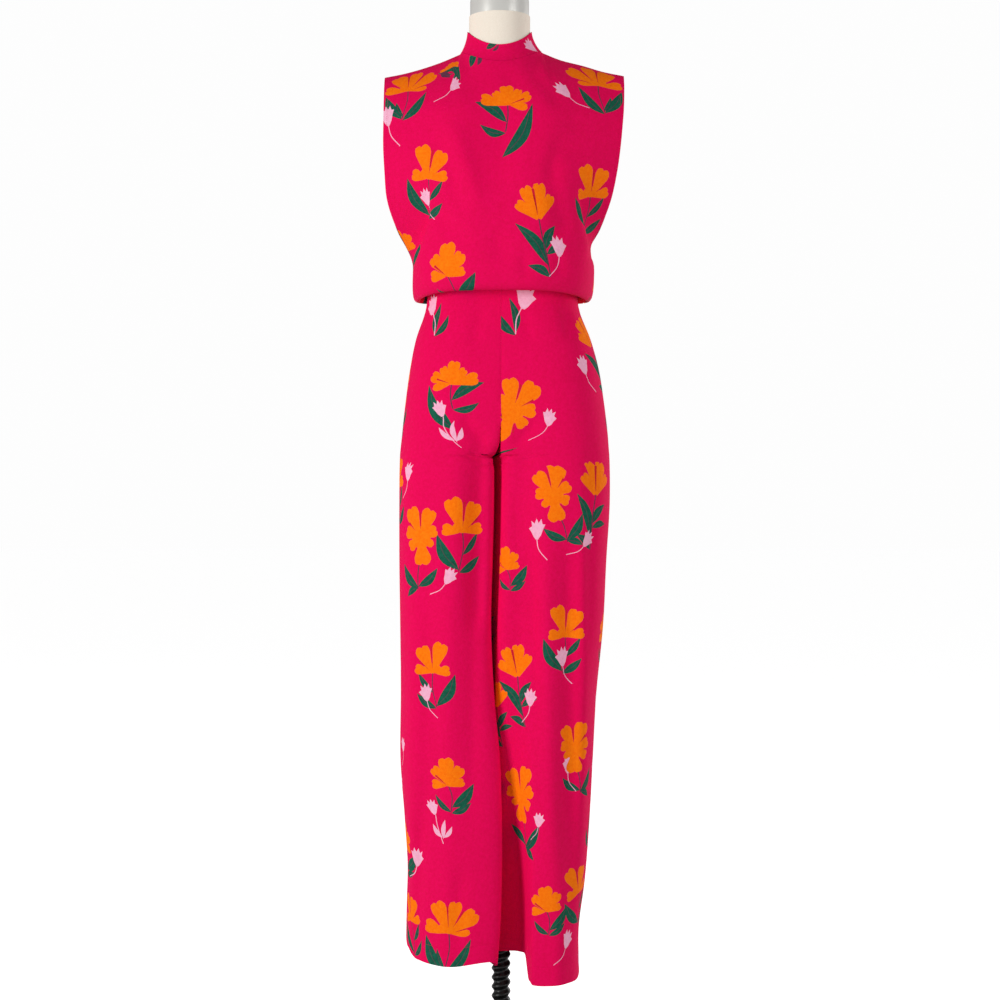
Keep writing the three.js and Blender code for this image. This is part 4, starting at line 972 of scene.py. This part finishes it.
for kind, px, py, turn, size, mirror in FRONT_MOTIFS:
    found = [panel.nearest(px, py) for panel in panels]
    away, s, t = min(found)
    if away < FOUND_WITHIN:
        panels[found.index((away, s, t))].place(KINDS[kind], s, t, turn, size, mirror)

# Tossed motifs: the least distance between them and their kinds, and then how they vary
TOSSED = ((112, ("side", "fan", "open", "cup", "tulip", "spread")), (70, ("bud", "sprig", "bud", "leaf")))
JITTER = 8
TURN = 22
SIZES = (0.8, 0.95)
# A motif's reach around its place, the facing at which the front view shows it, and the most
# that the cloth may slide sideways under it, as a share of the distance
REACH = np.array(((0, 0), (-50, 0), (50, 0), (0, -60), (0, 50)))
SHOWN = -0.45
SHEAR = 0.16


def fill(panel, seed):
    """More motifs where the front view shows none: the sides, the back and hidden turns."""
    chance = np.random.RandomState(seed)
    taken = list(panel.places)
    number = 0
    for want, kinds in TOSSED:
        spots = [(s, t) for t in np.arange(12, panel.length, want * 0.5)
                 for s in np.arange(8, panel.width, want * 0.5)]
        chance.shuffle(spots)
        for s, t in spots:
            s += chance.uniform(-JITTER, JITTER)
            t += chance.uniform(-JITTER, JITTER)
            if not (0 < s < panel.width and 0 < t < panel.length):
                continue
            shrink = float(np.interp(t, panel.t, panel.row_length)) / panel.width
            if any(math.hypot((s - a) * shrink, t - b) < want for a, b in taken):
                continue
            near = np.clip(REACH + (s, t), 0, (panel.width, panel.length))
            seen = sample(panel.normals, *panel.at(near[:, 0], near[:, 1]))[:, 1].min()
            if seen < SHOWN and "front" in panel.name:
                continue
            drift = panel.drift[:, int(round(panel.at(s, t)[1]))]
            if np.ptp(np.interp((t - 0.6 * want, t + 0.5 * want), panel.t, drift)) > SHEAR * want:
                continue
            kind = kinds[number % len(kinds)]
            panel.place(KINDS[kind], s, t, chance.uniform(-TURN, TURN), chance.uniform(*SIZES),
                        1 if chance.rand() < 0.5 else -1)
            taken.append((s, t))
            number += 1


for number, panel in enumerate(panels):
    fill(panel, 11 + number)


# Materials


def material(name, colour, roughness, metallic=0.0, specular=0.5):
    m = bpy.data.materials.new(name)
    m.use_nodes = True
    nodes, links = m.node_tree.nodes, m.node_tree.links
    shader = nodes["Principled BSDF"]
    shader.inputs["Base Color"].default_value = (*colour, 1)
    shader.inputs["Roughness"].default_value = roughness
    shader.inputs["Metallic"].default_value = metallic
    shader.inputs["Specular IOR Level"].default_value = specular
    place = nodes.new("ShaderNodeTexCoord")
    return m, nodes, links, shader, place.outputs["Object"]


def srgb(r, g, b):
    """Linear colour of a screen colour given from 0 to 255."""
    shares = (c / 255 for c in (r, g, b))
    return tuple(c / 12.92 if c <= 0.04045 else ((c + 0.055) / 1.055) ** 2.4 for c in shares)


def noise(nodes, links, where, scale, detail=3.0):
    n = nodes.new("ShaderNodeTexNoise")
    n.inputs["Scale"].default_value = scale
    n.inputs["Detail"].default_value = detail
    links.new(where, n.inputs["Vector"])
    return n.outputs["Fac"]


def varied(nodes, links, shader, fac, dark, light):
    ramp = nodes.new("ShaderNodeMix")
    ramp.data_type = "RGBA"
    links.new(fac, ramp.inputs[0])
    ramp.inputs[6].default_value = (*dark, 1)
    ramp.inputs[7].default_value = (*light, 1)
    links.new(ramp.outputs[2], shader.inputs["Base Color"])


def plain_material(name, dark, light, grain, *finish):
    """Material between two colours, mixed by a noise of one scale and detail."""
    made = material(name, light, *finish)
    nodes, links, shader, where = made[1:]
    varied(nodes, links, shader, noise(nodes, links, where, *grain), dark, light)
    return made


def bump(nodes, links, shader, height, strength, distance):
    b = nodes.new("ShaderNodeBump")
    b.inputs["Strength"].default_value = strength
    b.inputs["Distance"].default_value = distance
    links.new(height, b.inputs["Height"])
    links.new(b.outputs["Normal"], shader.inputs["Normal"])


# Crepe: its finish, the noises of its colour's patches and grain and of its crinkle, each as scale
# and detail, the scale of its pebbles, and how strong and high they stand
CREPE = {
    "finish": (0.85, 0.0, 0.07), "patch": (230, 4), "contrast": 1.5, "offset": -0.75, "grain": (900, 2),
    "crinkle": (420, 5), "pebbles": 1100, "strength": 0.5, "height": 0.0005,
}


def crepe(name, dark, light):
    m, nodes, links, shader, where = material(name, light, *CREPE["finish"])
    blend = nodes.new("ShaderNodeMath")
    blend.operation = "MULTIPLY_ADD"
    links.new(noise(nodes, links, where, *CREPE["patch"]), blend.inputs[0])
    blend.inputs[1].default_value = CREPE["contrast"]
    blend.inputs[2].default_value = CREPE["offset"]
    grain = nodes.new("ShaderNodeMath")
    grain.operation = "ADD"
    grain.use_clamp = True
    links.new(noise(nodes, links, where, *CREPE["grain"]), grain.inputs[0])
    links.new(blend.outputs[0], grain.inputs[1])
    varied(nodes, links, shader, grain.outputs[0], dark, light)
    pebble = nodes.new("ShaderNodeTexVoronoi")
    pebble.inputs["Scale"].default_value = CREPE["pebbles"]
    links.new(where, pebble.inputs["Vector"])
    crinkle = nodes.new("ShaderNodeMath")
    crinkle.operation = "ADD"
    links.new(noise(nodes, links, where, *CREPE["crinkle"]), crinkle.inputs[0])
    links.new(pebble.outputs["Distance"], crinkle.inputs[1])
    bump(nodes, links, shader, crinkle.outputs[0], CREPE["strength"], CREPE["height"])
    return m


CLOTH_MATERIALS = [
    crepe("crepe_ground", srgb(220, 0, 73), srgb(236, 0, 90)),
    crepe("crepe_green", srgb(14, 70, 54), srgb(28, 104, 80)),
    crepe("crepe_mauve", srgb(84, 44, 66), srgb(112, 62, 84)),
    crepe("crepe_pink", srgb(236, 160, 190), srgb(248, 188, 212)),
    crepe("crepe_orange", srgb(246, 104, 0), srgb(255, 130, 10)),
    crepe("crepe_slit", srgb(196, 20, 46), srgb(214, 30, 52)),
]


def shell(panel, wall, materials):
    """Closed wall of cloth with the print on both of its faces."""
    high, wide = panel.grid.shape[:2]
    s = np.linspace(0, panel.width, wide)
    coordinates = [Vector((float(x), float(y))) for y in panel.t for x in s]
    rim = list(range(wide)) + [i * wide + wide - 1 for i in range(1, high)]
    rim += [(high - 1) * wide + j for j in range(wide - 2, -1, -1)]
    rim += [i * wide for i in range(high - 2, 0, -1)]
    edges = [(rim[k], rim[(k + 1) % len(rim)]) for k in range(len(rim))]
    outlines = []
    for colour, outline in panel.motifs:
        start = len(coordinates)
        coordinates += [Vector((float(p[0]), float(p[1]))) for p in outline]
        outlines.append(list(range(start, len(coordinates))))
    found = delaunay_2d_cdt(coordinates, edges, outlines, 0, 1e-3, True)
    flat = np.array([tuple(v) for v in found[0]])
    triangles = [tuple(face) for face in found[2]]
    colours = [max((panel.motifs[k][0] for k in sources if k >= 0), default=GROUND) for sources in found[5]]
    flat[:, 0] = np.clip(flat[:, 0], 0, panel.width)
    flat[:, 1] = np.clip(flat[:, 1], 0, panel.length)
    rows, columns = panel.at(flat[:, 0], flat[:, 1])
    outside = sample(panel.grid, rows, columns)
    normal = sample(panel.normals, rows, columns)
    normal /= np.linalg.norm(normal, axis=1, keepdims=True)
    inside = outside - normal * wall
    under = len(outside)
    solid, paints = [], []
    uses = {}
    for (a, b, c), colour in zip(triangles, colours):
        if abs(np.cross(flat[b] - flat[a], flat[c] - flat[a])) < 1e-7:
            continue
        solid.append((a, b, c))
        solid.append((under + a, under + c, under + b))
        paints += [colour, colour]
        for edge in ((a, b), (b, c), (c, a)):
            uses[edge] = colour
    around = 0
    for (a, b), colour in uses.items():
        if (b, a) not in uses:
            solid.append((b, a, under + a, under + b))
            paints.append(colour)
            around += 1
    mesh = bpy.data.meshes.new(panel.name + "_cloth")
    mesh.from_pydata((np.concatenate((outside, inside)) * MM).tolist(), [], solid)
    mesh.polygons.foreach_set("material_index", paints)
    mesh.polygons.foreach_set("use_smooth", [True] * (len(solid) - around) + [False] * around)
    mesh.update()
    for m in materials:
        mesh.materials.append(m)
    both = np.concatenate((normal, -normal))
    mesh.normals_split_custom_set_from_vertices(both.tolist())
    o = bpy.data.objects.new(panel.name + "_cloth", mesh)
    bpy.context.collection.objects.link(o)
    return o


# Stitches: length, gap, width and height of one; hems and edges as distances from the cloth's rim
STITCH = {"length": 2.3, "gap": 0.9, "width": 0.4, "height": 0.14}
HEM_STITCH = 26
EDGE_STITCH = 6
ZIP_STITCH = 8
UNDERARM = 1185


def stitch_line(panel, flat):
    """Places and outward directions at even steps along a line of the flat cut."""
    flat = np.asarray(flat, float)
    rows, columns = panel.at(flat[:, 0], flat[:, 1])
    line = sample(panel.grid, rows, columns)
    normals = sample(panel.normals, rows, columns)
    length = np.concatenate(([0], np.cumsum(np.linalg.norm(np.diff(line, axis=0), axis=1))))
    starts = np.arange(2, length[-1] - STITCH["length"], STITCH["length"] + STITCH["gap"])

    def at(runs):
        return [
            np.stack([np.interp(runs, length, table[:, k]) for k in range(3)], axis=1)
            for table in (line, normals)
        ]

    return at(starts), at(starts + STITCH["length"])


def stitched(panel, lines, m):
    """One piece with every stitch of a panel, each a small thread lying on the cloth."""
    points, faces = [], []
    for flat in lines:
        (starts, out), (ends, _) = stitch_line(panel, flat)
        for a, b, n in zip(starts, ends, out):
            n = unit(n)
            ahead = unit(b - a)
            side = np.cross(n, ahead) * STITCH["width"] / 2
            up = n * STITCH["height"]
            inset = ahead * STITCH["width"] * 0.6
            k = len(points)
            points += [a + up * 0.1, a + inset + side, a + inset + up, a + inset - side]
            points += [b - inset + side, b - inset + up, b - inset - side, b + up * 0.1]
            faces += [
                (k, k + 2, k + 1), (k, k + 3, k + 2), (k, k + 1, k + 3),
                (k + 1, k + 2, k + 5, k + 4), (k + 2, k + 3, k + 6, k + 5), (k + 3, k + 1, k + 4, k + 6),
                (k + 7, k + 4, k + 5), (k + 7, k + 5, k + 6), (k + 7, k + 6, k + 4),
            ]
    o = solid_object(panel.name + "_stitches", points, faces, m, 60)
    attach(o, "garment_and_form")
    return o


def rim_line(panel, at_start, inset, low=None, high=None):
    """Line beside the panel's left or right rim, between two heights of the rim."""
    column = 0 if at_start else -1
    rim_z = panel.grid[:, column, 2]
    flat = []
    for i, t in enumerate(panel.t):
        if (low is None or rim_z[i] > low) and (high is None or rim_z[i] < high):
            away = inset * panel.width / panel.row_length[i]
            flat.append((away if at_start else panel.width - away, t))
    return flat


def row_line(panel, t):
    return [(s, t) for s in np.linspace(0.5, panel.width - 0.5, 160)]


def solid_object(name, points, faces, m, angle=35):
    mesh = bpy.data.meshes.new(name)
    mesh.from_pydata((np.asarray(points, float) * MM).tolist(), [], faces)
    mesh.validate()
    mesh.shade_smooth()
    mesh.set_sharp_from_angle(angle=math.radians(angle))
    mesh.materials.append(m)
    o = bpy.data.objects.new(name, mesh)
    bpy.context.collection.objects.link(o)
    return o


def panel_seams(panel):
    """Lines of stitching that show on a panel."""
    if panel.name == "collar":
        return [row_line(panel, panel.length - EDGE_STITCH)]
    if panel.name == "bodice_front":
        return [rim_line(panel, side, EDGE_STITCH, UNDERARM, 1440) for side in (True, False)]
    if panel.name.startswith("bodice_back"):
        on_right = panel.name.endswith("right")
        return [rim_line(panel, not on_right, EDGE_STITCH, UNDERARM, 1440),
                rim_line(panel, on_right, ZIP_STITCH, ZIP_BOTTOM)]
    return [row_line(panel, HEM_STITCH)]


ZIP_BOTTOM = 1180
thread = plain_material("thread", srgb(192, 0, 54), srgb(216, 2, 74), (2500, 2), *CREPE["finish"])[0]
for panel in panels:
    o = shell(panel, CLOTH - 0.1, CLOTH_MATERIALS)
    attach(o, "garment_and_form")
    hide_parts(panel.name)
    sewing = stitched(panel, panel_seams(panel), thread)


# Dress form and stand


def skin(rings, sides, start=0):
    """Faces round a stack of rings of points, and one face over each end."""
    faces = []
    for ring in range(start, start + (rings - 1) * sides, sides):
        for j in range(sides):
            a, b = ring + j, ring + (j + 1) % sides
            faces.append((a, b, b + sides, a + sides))
    top = start + (rings - 1) * sides
    return faces + [tuple(range(start, start + sides))[::-1], tuple(range(top, top + sides))]


def lathe(name, profile, sides, m, x=0.0, y=0.0):
    """Solid of revolution from radius and z pairs, closed at both ends."""
    points = []
    for radius, z in profile:
        for j in range(sides):
            a = 2 * math.pi * j / sides
            points.append((x + radius * math.cos(a), y + radius * math.sin(a), z))
    return solid_object(name, points, skin(len(profile), sides), m)


FORM_COLUMNS = ("z", "halfX", "front", "back")
FORM = (
    (936, 142, -78, 92), (965, 142, -83, 99), (1005, 137, -83, 96), (1050, 126, -79, 86),
    (1090, 114, -74, 74), (1130, 106, -71, 67), (1170, 107, -75, 67), (1215, 114, -90, 74),
    (1260, 124, -106, 82), (1295, 131, -111, 88), (1335, 138, -106, 92), (1370, 146, -94, 91),
    (1400, 154, -84, 87),
)
FORM_ROUND = 2.25
FORM_SIDES = 96
FORM_NECK = {
    "x": -2.1, "y": -3.0, "radius": 46.4, "bottom": 1512.0, "top": 1562.5, "front": 1486, "side": 1498,
}
FORM_STEPS = 4
# Chest to neck: the curve's two middle rings as a share of the chest's width, its shares of the
# chest's depth at the centre and the side, and its heights there
CHEST = {
    "low": (1.05, (0.93, 0.75), (1440, 1456)), "high": (0.72, (0.68, 0.3), (1470, 1478)),
    "sideways": 1.6, "first": 0.06, "rows": 18,
}


def form_rings():
    rings = []
    angle = 2 * np.pi * np.arange(FORM_SIDES) / FORM_SIDES
    c, s = np.cos(angle), np.sin(angle)
    c[np.abs(c) < 1e-9] = 0
    s[np.abs(s) < 1e-9] = 0
    for k in range((len(FORM) - 1) * FORM_STEPS + 1):
        row = row_at(FORM, FORM_COLUMNS, k / FORM_STEPS)
        depth = np.where(s < 0, -row["front"], row["back"])
        rings.append(np.column_stack((
            row["halfX"] * np.sign(c) * np.abs(c) ** (2 / FORM_ROUND),
            depth * np.sign(s) * np.abs(s) ** (2 / FORM_ROUND),
            np.full(FORM_SIDES, row["z"]),
        )))
    chest = rings[-1]
    sideways = np.abs(c) ** CHEST["sideways"]
    neck = np.column_stack((
        FORM_NECK["x"] + FORM_NECK["radius"] * c, FORM_NECK["y"] + FORM_NECK["radius"] * s,
        mix(mix(FORM_NECK["bottom"], FORM_NECK["front"], np.maximum(0, -s)), FORM_NECK["side"], sideways),
    ))
    low, high = (
        np.column_stack((chest[:, 0] * wide, chest[:, 1] * mix(*deep, sideways), mix(*height, sideways)))
        for wide, deep, height in (CHEST["low"], CHEST["high"])
    )
    for v in np.linspace(CHEST["first"], 1, CHEST["rows"]):
        w = 1 - v
        rings.append(chest * w**3 + low * 3 * w * w * v + high * 3 * w * v * v + neck * v**3)
    for share in (0.5, 1):
        top = rings[-1].copy()
        top[:, 2] = mix(neck[:, 2], FORM_NECK["top"], share)
        rings.append(top)
    return rings


linen, nodes, links, shader, where = plain_material(
    "linen", srgb(232, 220, 202), srgb(246, 237, 224), (700, 3), 0.85, 0.0, 0.2
)
weave = nodes.new("ShaderNodeTexWave")
weave.inputs["Scale"].default_value = 420
weave.bands_direction = "Z"
links.new(where, weave.inputs["Vector"])
bump(nodes, links, shader, weave.outputs["Fac"], 0.25, 0.0004)

chrome = plain_material("cap_chrome", srgb(216, 214, 208), srgb(232, 231, 226), (60, 3), 0.3, 0.45)[0]
steel = plain_material("steel", srgb(140, 140, 140), srgb(166, 166, 166), (80, 3), 0.35, 1.0)[0]
black = plain_material("black_metal", srgb(3, 3, 3), srgb(9, 9, 9), (90, 4), 0.38, 0.0, 0.3)[0]
tape_cloth = plain_material("tape_cloth", srgb(172, 0, 52), srgb(200, 4, 68), (800, 3), 0.8)[0]
zip_metal = plain_material("zip_metal", srgb(170, 168, 162), srgb(196, 194, 188), (300, 3), 0.3, 1.0)[0]

rings = form_rings()
form = solid_object("form_linen", np.concatenate(rings), skin(len(rings), FORM_SIDES), linen, 50)

CAP_RADIUS = 44.7
CAP_EDGE = 5
CAP_EDGE_Z = 1586
cap_profile = [(CAP_RADIUS, 1562.8), (CAP_RADIUS, CAP_EDGE_Z)]
cap_profile += [
    (CAP_RADIUS - CAP_EDGE + CAP_EDGE * math.cos(a), CAP_EDGE_Z + CAP_EDGE * math.sin(a))
    for a in np.linspace(0.2, math.pi / 2, 8)
]
cap_profile += [(31.5, 1597.5), (16, 1601.0), (1.0, 1602.0)]
cap = lathe("cap_chrome", cap_profile, 96, chrome, FORM_NECK["x"], FORM_NECK["y"])
tube = lathe("tube_steel", [(10.6, 226), (11, 226.6), (11, 928.8), (10.6, 929.4)], 64, steel)
flange = lathe("flange_steel", [(31, 929.7), (32, 930.5), (32, 935), (31.4, 935.7)], 64, steel)
base_profile = [
    (163.6, 0), (165, 1.6), (165, 6), (159, 10), (56, 18), (30, 24), (22, 30), (19.5, 48), (18, 50),
]
base = lathe("base_iron", base_profile, 128, black)

SCREW = {
    "sides": 32, "low": 50.3, "high": 225.7, "pitch": 14, "rowsPerTurn": 12, "radius": 12.75, "thread": 1.75,
}
screw_rows = int((SCREW["high"] - SCREW["low"]) / SCREW["pitch"] * SCREW["rowsPerTurn"])
screw_points = []
for i in range(screw_rows + 1):
    z = mix(SCREW["low"], SCREW["high"], i / screw_rows)
    for j in range(SCREW["sides"]):
        a = 2 * math.pi * j / SCREW["sides"]
        r = SCREW["radius"] + SCREW["thread"] * math.cos(a - 2 * math.pi * z / SCREW["pitch"])
        screw_points.append((r * math.cos(a), r * math.sin(a), z))
screw = solid_object("screw_black", screw_points, skin(screw_rows + 1, SCREW["sides"]), black, 60)

for o, node, slot in (
    (form, "form_torso", "linen"), (cap, "form_cap", "cap_metal"), (tube, "post_tube", "steel"),
    (flange, "post_flange", "steel"), (base, "stand_base", "black_metal"),
    (screw, "post_screw", "black_metal"),
):
    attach(o, "garment_and_form")
    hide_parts(node)

for node, m, slot in (("zip_tape", tape_cloth, "zip_tape"), ("zip_slider", zip_metal, "zip_metal"),
                      ("zip_pull", zip_metal, "zip_metal")):
    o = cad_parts[node]
    o.data.materials.clear()
    o.data.materials.append(m)
    if node != "zip_tape":
        bevel = o.modifiers.new("edge", "BEVEL")
        bevel.width = 0.0002
        bevel.segments = 2

# Zip chain: interlocked coil behind the opening, on its tape


def centre_back():
    """Rows of the opening's line from the zip's foot to the collar's top, with outward directions."""
    lines = []
    for name in ("bodice_back_right", "collar"):
        panel = next(p for p in panels if p.name == name)
        column = int(np.argmin(np.abs(panel.grid[-1, :, 0]) + np.where(panel.grid[-1, :, 1] > 0, 0, 1e3)))
        for p, n in zip(panel.grid[:, column], panel.normals[:, column]):
            if p[2] > ZIP_BOTTOM:
                lines.append((0.0, p[1], p[2], 0.0, n[1], n[2]))
    lines = np.array(lines)
    return lines[np.argsort(lines[:, 2])]


# Coil: step between its turns, half its width, a turn's thickness and height, its depth behind the
# cloth's face, a turn's sides, rounded end and narrowing there, how far it laps the middle, and how
# far from the line's two ends its turns start and stop
COIL = {
    "pitch": 1.3, "half": 2.3, "thick": 0.52, "high": 0.5, "behind": 1.62, "sides": 6, "end": 0.3,
    "narrow": 0.6, "lap": 0.35, "first": 2, "last": 9,
}


def zip_chain(m):
    path = centre_back()
    length = np.concatenate(([0], np.cumsum(np.linalg.norm(np.diff(path[:, :3], axis=0), axis=1))))
    points, faces = [], []
    for number, run in enumerate(np.arange(COIL["first"], length[-1] - COIL["last"], COIL["pitch"])):
        p = np.array([np.interp(run, length, path[:, k]) for k in range(3)])
        n = unit(np.array([np.interp(run, length, path[:, k]) for k in range(3, 6)]))
        up = unit(np.cross(n, np.array((1.0, 0, 0))))
        up = up if up[2] > 0 else -up
        half, lap, end, narrow = COIL["half"], COIL["half"] * COIL["lap"], COIL["end"], COIL["narrow"]
        left, right = (-half, lap) if number % 2 else (-lap, half)
        k = len(points)
        for x, grow in ((left, narrow), (left + end, 1), (right - end, 1), (right, narrow)):
            for corner in range(COIL["sides"]):
                c, s = polar(1, 360 / COIL["sides"] * corner)
                points.append(p - n * COIL["behind"] + np.array((x, 0, 0)) + up * c * grow * COIL["thick"] / 2
                              + n * s * grow * COIL["high"] / 2)
        faces += skin(4, COIL["sides"], k)
    return solid_object("zip_coil", points, faces, m, 60)


coil = zip_chain(plain_material("coil_nylon", srgb(190, 2, 62), srgb(218, 16, 88), (1500, 2), 0.35)[0])
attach(coil, "garment_and_form")
tape_length = (centre_back()[-1, 2] - ZIP_BOTTOM) * MM

# Stage, light and camera

FLOOR_REACH = 30
FLOOR_GLOW = 0.63
# Strength of the white round about: as light on the garment, and as the camera sees it
SKY_LIGHT, SKY_SEEN = 0.37, 0.985
floor_mesh = bpy.data.meshes.new("floor")
corners = [(x * FLOOR_REACH, y * FLOOR_REACH, 0) for x, y in ((-1, -1), (1, -1), (1, 1), (-1, 1))]
floor_mesh.from_pydata(corners, [], [(0, 1, 2, 3)])
floor = bpy.data.objects.new("floor", floor_mesh)
bpy.context.collection.objects.link(floor)
floor_m, nodes, links, shader, where = plain_material("floor", (0.965,) * 3, (0.975,) * 3, (3, 2), 0.9)
shader.inputs["Emission Color"].default_value = (1, 1, 1, 1)
shader.inputs["Emission Strength"].default_value = FLOOR_GLOW
floor_mesh.materials.append(floor_m)
floor.visible_diffuse = False

world = bpy.context.scene.world or bpy.data.worlds.new("world")
bpy.context.scene.world = world
world.use_nodes = True
sky = world.node_tree.nodes["Background"]
sky.inputs["Color"].default_value = (1, 1, 1, 1)
ray = world.node_tree.nodes.new("ShaderNodeLightPath")
strength = world.node_tree.nodes.new("ShaderNodeMapRange")
strength.inputs["To Min"].default_value = SKY_LIGHT
strength.inputs["To Max"].default_value = SKY_SEEN
world.node_tree.links.new(ray.outputs["Is Camera Ray"], strength.inputs["Value"])
world.node_tree.links.new(strength.outputs["Result"], sky.inputs["Strength"])


def area(name, place, target, size, power):
    """Rectangular light, in metres and watts, turned to a target."""
    light = bpy.data.lights.new(name, "AREA")
    light.shape = "RECTANGLE"
    light.size, light.size_y = size
    light.energy = power
    o = bpy.data.objects.new(name, light)
    o.location = place
    o.rotation_euler = (Vector(target) - Vector(place)).to_track_quat("-Z", "Y").to_euler()
    bpy.context.collection.objects.link(o)


area("key", (-2.48, -2.0, 1.05), (0, 0, 0.9), (0.9, 1.4), 75)
area("fill", (2.6, -1.9, 1.2), (0, 0, 0.85), (1.4, 1.8), 36)
area("back", (2.7, 2.3, 1.4), (0, 0, 0.9), (1.2, 1.6), 30)

camera_data = bpy.data.cameras.new("camera")
camera_data.lens = 71.05
camera_data.sensor_width = 36
camera = bpy.data.objects.new("camera", camera_data)
camera.location = (CAMERA_X * MM, -CAMERA_Y * MM, CAMERA_Z * MM)
camera.rotation_euler = (math.pi / 2, 0, 0)
bpy.context.collection.objects.link(camera)
bpy.context.scene.camera = camera
bpy.context.scene.view_settings.view_transform = "Standard"

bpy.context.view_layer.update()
